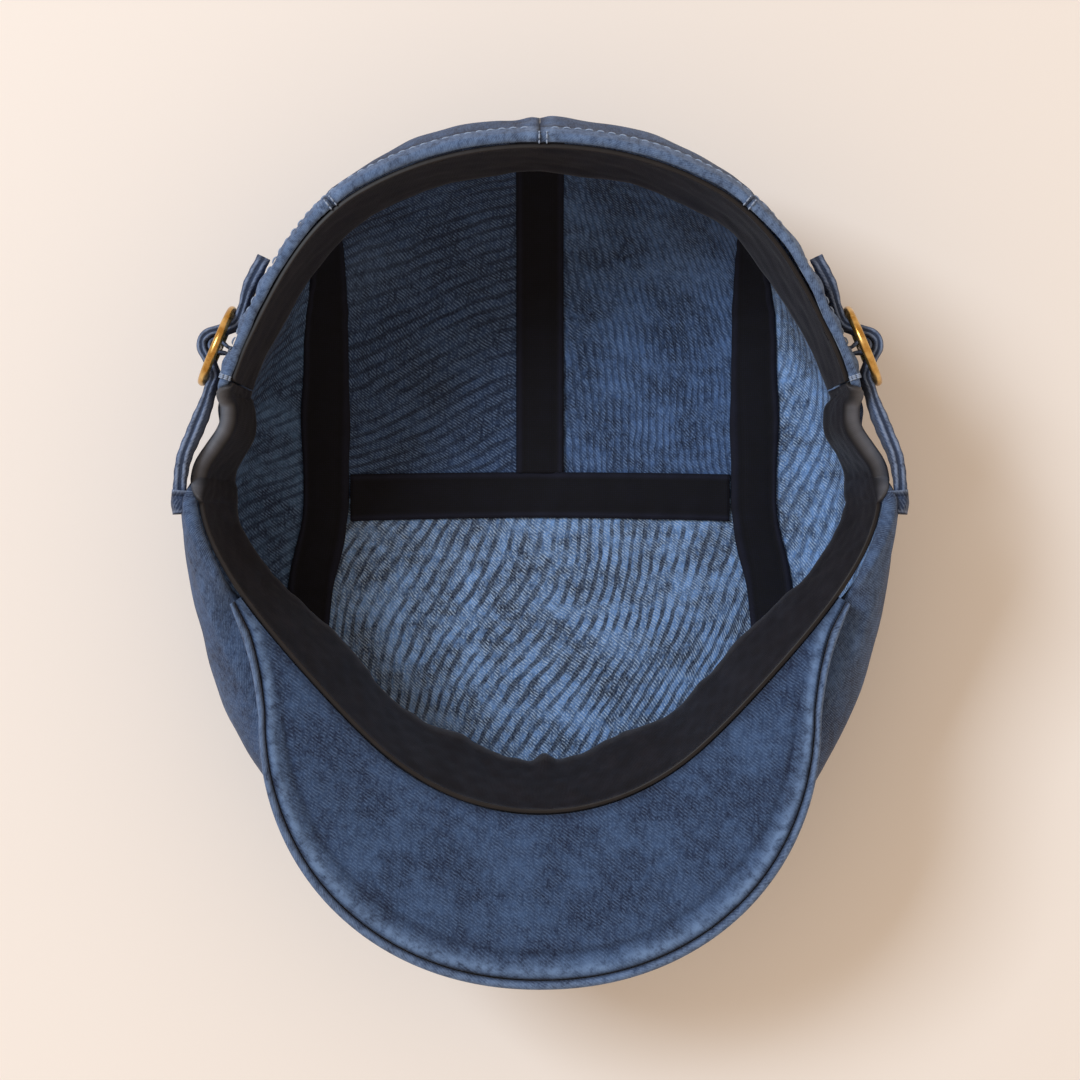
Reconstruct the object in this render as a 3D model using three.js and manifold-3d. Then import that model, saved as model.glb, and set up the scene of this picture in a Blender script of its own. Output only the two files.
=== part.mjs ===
// A denim flat cap lying upside down on its crown with the head opening up.
// Millimetres, +Z up. The back of the cap is at +Y and the peak points to -Y.
import * as THREE from 'three';
import { mergeVertices } from 'three/addons/utils/BufferGeometryUtils.js';
import Module from 'manifold-3d';

const wasm = await Module();
wasm.setup();

const degrees = Math.PI / 180;

// Overall form of the crown, measured on its outer surface
const rimHeight = 82;
const rimTilt = 8 * degrees;
const crossSeamY = 14;
const crownHalfWidth = 105;
const crownBackReach = 110;
const crownFrontReach = 130;

// Cloth
const crownWall = 1.8;
const hemWall = 3;
const hemDepth = 8;
const pieceGap = 0.3;
const seamGap = 0.4;
const seamRimAngle = 54.5 * degrees;

// Gathered notch in each side of the rim, between the two ends of the hem
const notchBackAngle = 18 * degrees;
const notchFrontAngle = -1 * degrees;
const notchSlope = 3.5 * degrees;
const notchDip = 11;
const cinchDepth = 9.5;
const cinchAtRim = 5;
const gatherSlope = 8 * degrees;
const gatherFadeStart = 28 * degrees;
const gatherFadeEnd = 60 * degrees;
const puckerDepth = 2.5;
const puckerIn = { angle: 12 * degrees, halfWidth: 4 * degrees };
const puckerOut = { angle: 4.5 * degrees, halfWidth: 3.5 * degrees };

// Seam tapes
const tapeWidth = 15;
const tapeThickness = 0.9;
const tapeGap = 0.8;

// Sweatband
const bandHeight = 30;
const bandThickness = 1.4;
const bandBackLean = 3;
const bandSideLean = 8;
const bandFrontLean = 13;
const bandWave = 1.2;
const bandWaves = 9;
const bandUnderRim = 0.6;
const bandEndGap = 0.3 * degrees;

// Peak
const peakCornerAngle = -19 * degrees;
const peakCornerFade = 6 * degrees;
const peakCornerOut = 3;
const peakCornerAhead = 2;
const peakLegShare = 0.2;
const peakLegBow = 1.5;
const peakHalfWidth = 80;
const peakTipReach = 142.5;
const peakRoundReach = 64;
const peakSquareness = 2.1;
const peakUndersideThickness = 2;
const peakTopThickness = 2.2;
const peakLipWidth = 5;
const peakLipRound = 0.5;
const peakRise = 21.8;
const peakCurl = 5;
const peakCurlReach = 0.12;

// Adjuster strap, slide buckle and keeper on each side
const buckleAngle = 23.8 * degrees;
const buckleRadius = 11;
const buckleWire = 2.6;
const buckleBar = 2;
const buckleStandOff = 5.9;
const buckleDrop = 13;
const strapWidth = 11;
const strapThickness = 2.4;
const strapHemOverlap = 5 * degrees;
const strapDrop = 8.5;
const strapStandOff = 1.8;
const strapTailRise = 0.6;
const strapTipShare = 0.06;
const keeperWall = 1;
const keeperWidth = 9;
const keeperTongue = 2.4;

// Levels of the crown from the middle of its top to the rim. run is the share of the way from the middle
// to the rim, height a share of the rim's height, and width, back and front are shares of the reaches.
// backSquare and frontSquare above 2 square its two halves. frontTaper narrows the front half into an egg.
const levelColumns = [
  'run', 'height', 'frontHeight', 'width', 'back', 'front', 'backSquare', 'frontSquare', 'frontTaper',
];
const crownLevels = [
  [0.00, 0.000, 0.000, 0.000, 0.000, 0.000, 2.0, 2.00, 0.00],
  [0.17, 0.000, 0.000, 0.333, 0.264, 0.231, 2.0, 2.00, 0.00],
  [0.34, 0.000, 0.000, 0.667, 0.527, 0.462, 2.0, 2.00, 0.00],
  [0.40, 0.013, 0.013, 0.745, 0.630, 0.585, 2.0, 2.00, 0.00],
  [0.51, 0.085, 0.085, 0.880, 0.790, 0.760, 2.0, 2.05, 0.00],
  [0.62, 0.250, 0.270, 0.965, 0.930, 0.905, 2.0, 2.12, 0.00],
  [0.74, 0.520, 0.570, 1.000, 1.000, 0.985, 2.0, 2.16, 0.00],
  [0.84, 0.740, 0.840, 0.990, 0.985, 1.000, 2.0, 2.14, 0.02],
  [0.93, 0.910, 1.020, 0.965, 0.935, 0.935, 2.1, 2.06, 0.07],
  [1.00, 1.000, 1.000, 0.948, 0.905, 0.731, 2.1, 2.00, 0.20],
].map((row) => Object.fromEntries(levelColumns.map((column, i) => [column, row[i]])));

// Shares of the way to the rim from where it is shaped on its own
const rimFormStart = 0.93;
const notchFormStart = 0.86;
const cinchStart = 0.5;
const cinchFull = 0.74;
const cinchEaseStart = 0.8;

// Side seam over the crown: along is its place from the cross seam to the rim, across its distance out
const seamEndAlong = Math.sin(seamRimAngle);
const seamEndAcross = Math.cos(seamRimAngle);
const sideSeam = [
  { along: -1.00, across: 1.000 },
  { along: -0.70, across: 0.900 },
  { along: -0.50, across: 0.810 },
  { along: -0.34, across: 0.710 },
  { along: -0.20, across: 0.645 },
  { along: 0.00, across: 0.570 },
  { along: 0.20, across: 0.590 },
  { along: 0.45, across: 0.660 },
  { along: 0.60, across: 0.740 },
  { along: 0.74, across: 0.825 },
  { along: 1.00, across: 1.000 },
];

// Rows of cloth from the cross seam to the rim, and from the side seam to the rim
const topPanelRows = [0, 0.12, 0.23, 0.34, 0.42, 0.5, 0.58, 0.66, 0.74, 0.82, 0.87, 0.925, 0.955, 1];
const sidePanelFlatShare = 0.34;
const sidePanelRows = topPanelRows
  .filter((share) => share >= sidePanelFlatShare)
  .map((share) => (share - sidePanelFlatShare) / (1 - sidePanelFlatShare));
const tapeBackEnd = 0.87;
const tapeFrontEnd = 0.74;
const backPanelColumns = 8;
const frontPanelColumns = 16;
const sidePanelColumns = 30;

// Strap's route past the buckle: along in buckle radii towards the back, weave as shares of the offset that
// takes it under the buckle's rim (below zero) or over its bar (above zero), lean out of its lower edge
const strapRoute = [
  { along: -3.05, weave: -1.35, lean: 0.6 },
  { along: -2.30, weave: -1.3, lean: 0.0 },
  { along: -1.55, weave: -1.25, lean: 0.0 },
  { along: -1.10, weave: -1.1, lean: 0.0 },
  { along: -0.75, weave: -1.0, lean: 0.0 },
  { along: -0.46, weave: 0.0, lean: 0.0 },
  { along: -0.23, weave: 0.82, lean: 0.0 },
  { along: 0.00, weave: 1.08, lean: 0.0 },
  { along: 0.23, weave: 0.82, lean: 0.0 },
  { along: 0.46, weave: 0.0, lean: 0.0 },
  { along: 0.75, weave: -1.0, lean: 0.0 },
  { along: 1.15, weave: -1.05, lean: 0.0 },
  { along: 1.70, weave: -0.75, lean: 0.4 },
  { along: 2.60, weave: -0.9, lean: 1.2 },
];

const colours = {
  denim: 0x3f5f86,
  tape: 0x14161f,
  sweatband: 0x26262b,
  brass: 0xc9a35a,
};

const group = new THREE.Group();

function mix(from, to, share) {
  return from + (to - from) * share;
}

function smoothStep(from, to, value) {
  const share = THREE.MathUtils.clamp((value - from) / (to - from), 0, 1);
  return share * share * (3 - 2 * share);
}

function bell(value, centre, halfWidth) {
  return Math.exp(-(((value - centre) / halfWidth) ** 2));
}

// A smooth curve through a table's column that never swings past its rows
function tableCurve(rows, placeKey, valueKey) {
  const places = rows.map((row) => row[placeKey]);
  const values = rows.map((row) => row[valueKey]);
  const last = rows.length - 1;
  const rises = places.slice(1).map((place, i) => (values[i + 1] - values[i]) / (place - places[i]));
  const slopes = places.map((place, i) => {
    if (i === 0) return rises[0];
    if (i === last) return rises[last - 1];
    if (rises[i - 1] * rises[i] <= 0) return 0;
    return 2 * rises[i - 1] * rises[i] / (rises[i - 1] + rises[i]);
  });
  return (place) => {
    const found = places.findIndex((start, i) => i > 0 && place <= start);
    const i = found < 0 ? last - 1 : found - 1;
    const width = places[i + 1] - places[i];
    const t = THREE.MathUtils.clamp((place - places[i]) / width, 0, 1);
    const startPart = (1 + 2 * t) * (1 - t) ** 2 * values[i] + t * (1 - t) ** 2 * width * slopes[i];
    const endPart = t * t * (3 - 2 * t) * values[i + 1] + t * t * (t - 1) * width * slopes[i + 1];
    return startPart + endPart;
  };
}

const levelCurves = {};
for (const key of Object.keys(crownLevels[0])) {
  levelCurves[key] = tableCurve(crownLevels, 'run', key);
}
const seamCurve = tableCurve(sideSeam, 'along', 'across');

function rimHeightAt(y) {
  return rimHeight + Math.tan(rimTilt) * (y - crossSeamY);
}

const peakThickness = peakUndersideThickness + pieceGap + peakTopThickness;
const rimDropUnderPeak = peakThickness + pieceGap;

// How strongly the strap gathers the crown at an angle from the side, zero at the front end of the hem
function gatherShare(sideAngle) {
  const frontEnd = smoothStep(notchFrontAngle - degrees, notchFrontAngle + gatherSlope, sideAngle);
  return frontEnd * (1 - smoothStep(gatherFadeStart, gatherFadeEnd, sideAngle));
}

function notchShare(sideAngle) {
  const backEnd = 1 - smoothStep(notchBackAngle - notchSlope, notchBackAngle, sideAngle);
  return smoothStep(notchFrontAngle, notchFrontAngle + notchSlope, sideAngle) * backEnd;
}

// How far an angle from the side lies in front of the peak's corners
function underPeakShare(sideAngle) {
  const corner = -peakCornerAngle;
  return smoothStep(corner - peakCornerFade + degrees, corner + degrees, -sideAngle);
}

// Width left by the egg's taper at a share of the way to its front
function eggTaper(amount, forward) {
  return 1 - amount * smoothStep(0, 0.8, forward);
}

// A point of the crown's outer surface. across and along are its share of the way to the rim, to the right
// and to the back.
function crownPoint(across, along) {
  const run = Math.min(Math.hypot(across, along), 1);
  const level = Object.fromEntries(Object.entries(levelCurves).map(([key, curve]) => [key, curve(run)]));
  const angle = Math.atan2(along, across);
  const sideAngle = Math.atan2(along, Math.abs(across));
  const isBack = along >= 0;
  const square = isBack ? level.backSquare : level.frontSquare;
  const taper = isBack ? 1 : eggTaper(level.frontTaper, -Math.sin(angle));
  const reach = isBack ? level.back * crownBackReach : level.front * crownFrontReach;
  const halfWidth = level.width * crownHalfWidth * taper;
  let x = Math.sign(across) * halfWidth * Math.abs(Math.cos(angle)) ** (2 / square);
  let y = crossSeamY + Math.sign(along) * reach * Math.abs(Math.sin(angle)) ** (2 / square);

  const frontShare = smoothStep(0.35, 0.95, -Math.sin(angle));
  let z = mix(level.height, level.frontHeight, frontShare) * rimHeightAt(y);
  z -= rimDropUnderPeak * smoothStep(rimFormStart, 1, run) * underPeakShare(sideAngle);

  const notch = notchShare(sideAngle) * smoothStep(notchFormStart, 1, run);
  z -= notchDip * notch;
  const inFold = bell(sideAngle, puckerIn.angle, puckerIn.halfWidth);
  const outFold = bell(sideAngle, puckerOut.angle, puckerOut.halfWidth);
  const cinchEase = mix(cinchDepth, cinchAtRim, smoothStep(cinchEaseStart, 1, run));
  const cinch = cinchEase * smoothStep(cinchStart, cinchFull, run);
  const inward = cinch * gatherShare(sideAngle) + puckerDepth * notch * (inFold - outFold);
  x -= Math.sign(across) * inward * Math.cos(sideAngle);
  y -= inward * Math.sin(sideAngle);
  return new THREE.Vector3(x, y, z);
}

// Outward normal of the crown
function crownNormal(across, along) {
  const step = 0.004;
  const run = Math.hypot(across, along);
  if (run < crownLevels[2].run) return new THREE.Vector3(0, 0, -1);
  const angle = Math.atan2(along, across);
  const place = (atRun, atAngle) => crownPoint(atRun * Math.cos(atAngle), atRun * Math.sin(atAngle));
  const outer = Math.min(run + step, 1);
  const upward = place(outer, angle).sub(place(outer - 2 * step, angle));
  const around = place(run, angle + step).sub(place(run, angle - step));
  return around.cross(upward).normalize();
}

function crownInside(across, along, depth) {
  return crownPoint(across, along).addScaledVector(crownNormal(across, along), -depth);
}

// Millimetres of cloth per share of the way to the rim, measured at the back of the rim
const clothPerRun = crownPoint(0, 1).distanceTo(crownPoint(0, rimFormStart)) / (1 - rimFormStart);
const hemRun = 1 - hemDepth / clothPerRun;
const hemEdgeRun = hemRun - 2 * (hemWall - crownWall) / clothPerRun;
const hemShareInNotch = 0.4;

function wallAt(across, along) {
  const run = Math.hypot(across, along);
  const sideAngle = Math.atan2(along, Math.abs(across));
  const hemShare = smoothStep(hemEdgeRun, hemRun, run) * mix(1, hemShareInNotch, notchShare(sideAngle));
  return mix(crownWall, hemWall, hemShare);
}

// A closed solid between two sheets of points with the same rows and columns
function solidBetween(outerSheet, innerSheet) {
  const rows = outerSheet.length;
  const columns = outerSheet[0].length;
  const positions = [...outerSheet.flat(), ...innerSheet.flat()].flatMap((point) => point.toArray());
  const index = [];
  const outer = (row, column) => row * columns + column;
  const inner = (row, column) => rows * columns + row * columns + column;
  const quad = (a, b, c, d) => index.push(a, b, c, a, c, d);
  for (let row = 0; row < rows - 1; row += 1) {
    for (let column = 0; column < columns - 1; column += 1) {
      quad(outer(row, column), outer(row, column + 1), outer(row + 1, column + 1), outer(row + 1, column));
      quad(inner(row, column), inner(row + 1, column), inner(row + 1, column + 1), inner(row, column + 1));
    }
  }
  for (let column = 0; column < columns - 1; column += 1) {
    quad(outer(0, column), inner(0, column), inner(0, column + 1), outer(0, column + 1));
    const top = rows - 1;
    quad(outer(top, column), outer(top, column + 1), inner(top, column + 1), inner(top, column));
  }
  for (let row = 0; row < rows - 1; row += 1) {
    quad(outer(row, 0), outer(row + 1, 0), inner(row + 1, 0), inner(row, 0));
    const end = columns - 1;
    quad(outer(row, end), inner(row, end), inner(row + 1, end), outer(row + 1, end));
  }
  return facingOut(positions, index);
}

// Turns a closed mesh inside out where its volume comes out below zero
function facingOut(positions, index) {
  const geometry = new THREE.BufferGeometry();
  geometry.setAttribute('position', new THREE.Float32BufferAttribute(positions, 3));
  const corner = (i) => new THREE.Vector3(...positions.slice(3 * index[i], 3 * index[i] + 3));
  let volume = 0;
  for (let i = 0; i < index.length; i += 3) {
    volume += corner(i).dot(corner(i + 1).cross(corner(i + 2)));
  }
  if (volume < 0) index.reverse();
  geometry.setIndex(index);
  geometry.computeVertexNormals();
  return geometry;
}

function addPiece(name, geometry, colour, roughness, parent) {
  const metalness = colour === colours.brass ? 1 : 0;
  const material = new THREE.MeshStandardMaterial({ color: colour, roughness, metalness });
  const mesh = new THREE.Mesh(geometry, material);
  mesh.name = name;
  parent.add(mesh);
  return mesh;
}

// The side seam at a share of the way from the cross seam to the rim, moved out by a number of millimetres
function seamPlace(share, direction, shift) {
  const along = direction * share * seamEndAlong;
  const across = seamCurve(direction * share) * seamEndAcross;
  const step = 0.01;
  const scale = crownPoint(across + step / 2, along).distanceTo(crownPoint(across - step / 2, along)) / step;
  const place = new THREE.Vector2(across + shift / scale, along);
  return share === 1 ? place.normalize() : place;
}

// Places of a four-sided patch of the crown between its bottom, top, left and right edges
function patch(edges, columns, rows) {
  const corners = [edges.left(0), edges.right(0), edges.left(1), edges.right(1)];
  return rows.map((v) => Array.from({ length: columns + 1 }, (unused, i) => {
    const u = i / columns;
    const place = edges.bottom(u).multiplyScalar(1 - v).addScaledVector(edges.top(u), v);
    place.addScaledVector(edges.left(v), 1 - u).addScaledVector(edges.right(v), u);
    const weights = [(1 - u) * (1 - v), u * (1 - v), (1 - u) * v, u * v];
    corners.forEach((corner, k) => place.addScaledVector(corner, -weights[k]));
    return v === 1 ? place.normalize() : place;
  }));
}

function rimArc(from, to) {
  const start = from.angle();
  let turn = to.angle() - start;
  if (turn > Math.PI) turn -= 2 * Math.PI;
  if (turn < -Math.PI) turn += 2 * Math.PI;
  return (share) => new THREE.Vector2(Math.cos(start + turn * share), Math.sin(start + turn * share));
}

function straight(from, to) {
  return (share) => from.clone().lerp(to, share);
}

function panelSolid(places) {
  const outerPoint = ({ x, y }) => crownPoint(x, y);
  const innerPoint = ({ x, y }) => crownInside(x, y, wallAt(x, y));
  return solidBetween(places.map((row) => row.map(outerPoint)), places.map((row) => row.map(innerPoint)));
}

const flatBackScale = crownLevels[2].back * crownBackReach / crownLevels[2].run;
const flatFrontScale = crownLevels[2].front * crownFrontReach / crownLevels[2].run;
const flatSideScale = crownLevels[2].width * crownHalfWidth / crownLevels[2].run;
const backSeamEdge = seamGap / 2 / flatBackScale;
const frontSeamEdge = seamGap / 2 / flatFrontScale;
const centreSeamEdge = seamGap / 2 / flatSideScale;

function frontPanel() {
  const rightEdge = (v) => seamPlaceFrom(frontSeamEdge, v, -1, -seamGap / 2);
  const leftEdge = (v) => mirrored(rightEdge(v));
  const bottom = straight(leftEdge(0), rightEdge(0));
  const top = rimArc(leftEdge(1), rightEdge(1));
  const edges = { bottom, top, left: leftEdge, right: rightEdge };
  return panelSolid(patch(edges, frontPanelColumns, topPanelRows));
}

// The side seam from a place just off the cross seam to the rim
function seamPlaceFrom(startAlong, share, direction, shift) {
  return seamPlace(mix(startAlong / seamEndAlong, 1, share), direction, shift);
}

function mirrored(place) {
  return new THREE.Vector2(-place.x, place.y);
}

function backPanel() {
  const rightEdge = (v) => seamPlaceFrom(backSeamEdge, v, 1, -seamGap / 2);
  const leftEdge = (v) => {
    const place = new THREE.Vector2(centreSeamEdge, mix(backSeamEdge, 1, v));
    return v === 1 ? place.normalize() : place;
  };
  const bottom = straight(leftEdge(0), rightEdge(0));
  const top = rimArc(leftEdge(1), rightEdge(1));
  const edges = { bottom, top, left: leftEdge, right: rightEdge };
  return panelSolid(patch(edges, backPanelColumns, topPanelRows));
}

// The side panel: its lower edge is the flat middle of the seam, its two ends climb the seam to the rim
function sidePanel() {
  const flatShare = sidePanelFlatShare;
  const shift = seamGap / 2;
  const seamAt = (share) => seamPlace(Math.abs(share), Math.sign(share) || 1, shift);
  const bottom = (u) => seamAt(mix(flatShare, -flatShare, u));
  const left = (v) => seamAt(mix(flatShare, 1, v));
  const right = (v) => seamAt(mix(-flatShare, -1, v));
  const top = rimArc(left(1), right(1));
  return panelSolid(patch({ bottom, top, left, right }, sidePanelColumns, sidePanelRows));
}

// A tape: pairs of places on its two edges, laid on the inside of the crown
function tapeSolid(pairs) {
  const floorDepth = crownWall + tapeGap;
  const lower = pairs.map((pair) => pair.map((place) => crownInside(place.x, place.y, floorDepth)));
  const upper = pairs.map((pair) => {
    return pair.map((place) => crownInside(place.x, place.y, floorDepth + tapeThickness));
  });
  return solidBetween(lower, upper);
}

// Places along a seam where a tape bends with the panels under it
function tapeRows(start, end) {
  return [start, ...topPanelRows.filter((row) => row > start + 0.02 && row <= end)];
}

function centreTape() {
  const start = (tapeWidth / 2 + pieceGap) / flatBackScale;
  const pairs = tapeRows(start, tapeBackEnd).map((along) => {
    const step = 0.01;
    const scale = crownPoint(step, along).distanceTo(crownPoint(-step, along)) / (2 * step);
    const half = tapeWidth / 2 / scale;
    return [new THREE.Vector2(-half, along), new THREE.Vector2(half, along)];
  });
  return tapeSolid(pairs);
}

function crossTape() {
  const steps = 4;
  const reach = seamPlace(0, 1, -tapeWidth / 2 - pieceGap).x;
  const backEdge = tapeWidth / 2 / flatBackScale;
  const frontEdge = -tapeWidth / 2 / flatFrontScale;
  const pairs = Array.from({ length: steps + 1 }, (unused, i) => {
    const across = mix(-reach, reach, i / steps);
    return [new THREE.Vector2(across, frontEdge), new THREE.Vector2(across, backEdge)];
  });
  return tapeSolid(pairs);
}

function sideTape() {
  const backRows = tapeRows(0, tapeBackEnd).slice(1).reverse();
  const shares = [...backRows, ...tapeRows(0, tapeFrontEnd).map((row) => -row)];
  const pairs = shares.map((share) => {
    const direction = share > 0 ? 1 : -1;
    return [-1, 1].map((edge) => seamPlace(Math.abs(share), direction, edge * tapeWidth / 2));
  });
  return tapeSolid(pairs);
}

// Rim of the crown at an angle from the right side, on its outer surface
function rimPlace(angle) {
  return new THREE.Vector2(Math.cos(angle), Math.sin(angle));
}

// Direction into the cap at the rim, level with the floor
function rimInward(angle) {
  const step = 0.5 * degrees;
  const before = rimPlace(angle - step);
  const after = rimPlace(angle + step);
  const along = crownPoint(after.x, after.y).sub(crownPoint(before.x, before.y));
  return new THREE.Vector3(-along.y, along.x, 0).normalize();
}

function bandLean(angle) {
  const toBack = smoothStep(0, 1, Math.sin(angle));
  const toFront = smoothStep(0, 1, -Math.sin(angle));
  return bandSideLean + (bandBackLean - bandSideLean) * toBack + (bandFrontLean - bandSideLean) * toFront;
}

// A length of the sweatband, hanging from the rim with its lower edge leaning into the cap
function sweatband(fromAngle, toAngle, columns) {
  const rows = [0, 0.35, 0.7, 1];
  const sheet = (depth) => rows.map((share) => Array.from({ length: columns + 1 }, (unused, i) => {
    const angle = mix(fromAngle, toAngle, i / columns);
    const place = rimPlace(angle);
    const rim = crownPoint(place.x, place.y);
    const underPeak = underPeakShare(Math.asin(Math.sin(angle)));
    const inward = rimInward(angle);
    const wave = bandWave * share * Math.sin(bandWaves * angle) * smoothStep(0, 0.5, -Math.sin(angle));
    const lean = bandLean(angle) * share + wave;
    const fall = Math.sqrt(bandHeight ** 2 - bandLean(angle) ** 2) * share;
    const toMiddle = new THREE.Vector3(-rim.x, crossSeamY - rim.y, 0).normalize();
    rim.addScaledVector(inward, wallAt(place.x, place.y) + pieceGap + depth).addScaledVector(toMiddle, lean);
    rim.z += rimDropUnderPeak * underPeak - fall - wave / 2 - bandUnderRim;
    return rim;
  }));
  return solidBetween(sheet(0), sheet(bandThickness));
}

// Peak

const rimLevel = crownLevels[crownLevels.length - 1];
const rimFrontReach = rimLevel.front * crownFrontReach - hemWall;
const rimHalfWidth = rimLevel.width * crownHalfWidth - hemWall;

// How far beyond the rim a place of the peak lies, as a share of the rim's own reach
function shareBeyondRim(x, y) {
  const across = Math.abs(x) / rimHalfWidth;
  const ahead = Math.max(0, crossSeamY - y) / rimFrontReach;
  let scale = Math.hypot(across, ahead);
  for (let round = 0; round < 6; round += 1) {
    scale = Math.hypot(across / eggTaper(rimLevel.frontTaper, ahead / scale), ahead);
  }
  return Math.max(0, scale - 1);
}

// Height of the peak's underside, which faces up here
function peakHeight(x, y) {
  const beyond = shareBeyondRim(x, y);
  const curl = peakCurl * (x / peakHalfWidth) ** 2 * (1 - Math.exp(-beyond / peakCurlReach));
  return rimHeightAt(y) + peakRise * beyond + curl;
}

// Inner edge of the peak, along the rim
function peakInnerEdge(angle) {
  const place = rimPlace(angle);
  const rim = crownPoint(place.x, place.y);
  return rim.addScaledVector(rimInward(angle), hemWall);
}

// Outer edge of the peak: a leg down each side, then a round front
function peakOuterEdge(share) {
  const side = share < 0.5 ? 1 : -1;
  const fromCorner = 2 * Math.min(share, 1 - share);
  const corner = peakInnerEdge(peakCornerAngle);
  const roundStartY = crossSeamY - peakRoundReach;
  if (fromCorner < peakLegShare) {
    const t = fromCorner / peakLegShare;
    const bow = peakLegBow * Math.sin(Math.PI * t);
    const x = mix(corner.x + peakCornerOut, peakHalfWidth, t) - bow;
    return new THREE.Vector3(side * x, mix(corner.y - peakCornerAhead, roundStartY, t), 0);
  }
  const turn = (fromCorner - peakLegShare) / (1 - peakLegShare) * 90 * degrees;
  const x = peakHalfWidth * Math.cos(turn) ** (2 / peakSquareness);
  const y = roundStartY - (peakTipReach - peakRoundReach) * Math.sin(turn) ** (2 / peakSquareness);
  return new THREE.Vector3(side * x, y, 0);
}

// One cloth of the peak. Each row is a distance from the inner or outer edge with the depths of its faces.
function peakSolid(rows) {
  const columns = 30;
  const sheet = (face) => rows.map((row) => Array.from({ length: columns + 1 }, (unused, i) => {
    const share = i / columns;
    const inner = peakInnerEdge(mix(peakCornerAngle, -Math.PI - peakCornerAngle, share));
    const outer = peakOuterEdge(share);
    const width = Math.hypot(outer.x - inner.x, outer.y - inner.y);
    const lip = Math.min(peakLipWidth, 0.45 * width);
    const distance = row.share * (width - lip) + row.lip * lip + row.gap * pieceGap;
    const point = inner.clone().lerp(outer, distance / width);
    point.z = peakHeight(point.x, point.y) - row[face];
    return point;
  }));
  return solidBetween(sheet('top'), sheet('bottom'));
}

function peakUnderside() {
  const bottom = peakUndersideThickness;
  return peakSolid([0, 0.25, 0.5, 0.75, 1].map((share) => ({ share, lip: 0, gap: 0, top: 0, bottom })));
}

function peakTop() {
  const under = peakUndersideThickness + pieceGap;
  const bottom = under + peakTopThickness;
  const round = peakLipRound;
  return peakSolid([
    { share: 0.00, lip: 0, gap: 0, top: under, bottom },
    { share: 0.33, lip: 0, gap: 0, top: under, bottom },
    { share: 0.67, lip: 0, gap: 0, top: under, bottom },
    { share: 1.00, lip: 0, gap: 0.5, top: under, bottom },
    { share: 1.00, lip: 0, gap: 1, top: round, bottom },
    { share: 1.00, lip: 0.3, gap: 0, top: 0, bottom },
    { share: 1.00, lip: 0.8, gap: 0, top: round, bottom: bottom - round },
    { share: 1.00, lip: 1, gap: 0, top: 3 * round, bottom: bottom - 3 * round },
  ]);
}

// Adjuster on the right side, mirrored to the left

const buckleFrame = (() => {
  const place = rimPlace(buckleAngle);
  const outward = rimInward(buckleAngle).negate();
  const centre = crownPoint(place.x, place.y).addScaledVector(outward, buckleStandOff);
  centre.z -= buckleDrop;
  const backward = new THREE.Vector3(-outward.y, outward.x, 0);
  return { centre, outward, backward, up: new THREE.Vector3(0, 0, 1) };
})();

function toManifold(geometry) {
  const bare = geometry.clone();
  bare.deleteAttribute('normal');
  bare.deleteAttribute('uv');
  const merged = mergeVertices(bare, 1e-4);
  const vertProperties = new Float32Array(merged.attributes.position.array);
  const triVerts = new Uint32Array(merged.index.array);
  return new wasm.Manifold(new wasm.Mesh({ numProp: 3, vertProperties, triVerts }));
}

function fromManifold(solid) {
  const mesh = solid.getMesh();
  const geometry = new THREE.BufferGeometry();
  geometry.setAttribute('position', new THREE.BufferAttribute(new Float32Array(mesh.vertProperties), 3));
  geometry.setIndex(Array.from(mesh.triVerts));
  geometry.computeVertexNormals();
  return geometry;
}

// A round slide with a bar across its middle, lying in its own XY plane with the bar along Y
function buckle() {
  const ring = new THREE.TorusGeometry(buckleRadius, buckleWire / 2, 8, 28);
  const bar = new THREE.CylinderGeometry(buckleBar / 2, buckleBar / 2, 2 * buckleRadius, 8);
  return fromManifold(toManifold(ring).add(toManifold(bar)));
}

// A plain loop of cloth round the buckle's bar, with a tongue sewn to the hem
function keeper() {
  const inner = buckleBar / 2 + pieceGap;
  const outer = inner + keeperWall;
  const place = rimPlace(buckleAngle);
  const hemDistance = distanceToCrown(buckleFrame.centre, buckleFrame.outward, place);
  const tongueEnd = hemDistance - pieceGap;
  const halfTongue = keeperTongue / 2;
  const shape = new THREE.Shape();
  const turn = Math.asin(halfTongue / outer);
  shape.absarc(0, 0, outer, -Math.PI / 2 + turn, 1.5 * Math.PI - turn, false);
  shape.lineTo(-halfTongue, -tongueEnd);
  shape.lineTo(halfTongue, -tongueEnd);
  shape.closePath();
  const hole = new THREE.Path();
  hole.absarc(0, 0, inner, 0, 2 * Math.PI, true);
  shape.holes.push(hole);
  const settings = { depth: keeperWidth, bevelEnabled: false, curveSegments: 8 };
  const geometry = new THREE.ExtrudeGeometry(shape, settings);
  geometry.translate(0, 0, -keeperWidth / 2);
  return geometry;
}

// How far the crown's outer surface lies behind a point, level with it
function distanceToCrown(point, outward, place) {
  const run = 0.86;
  let nearest = Infinity;
  for (let share = run; share <= 1; share += 0.005) {
    const surface = crownPoint(place.x * share, place.y * share);
    if (Math.abs(surface.z - point.z) > keeperWidth / 2 + 1) continue;
    nearest = Math.min(nearest, point.clone().sub(surface).dot(outward));
  }
  return nearest;
}

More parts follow.
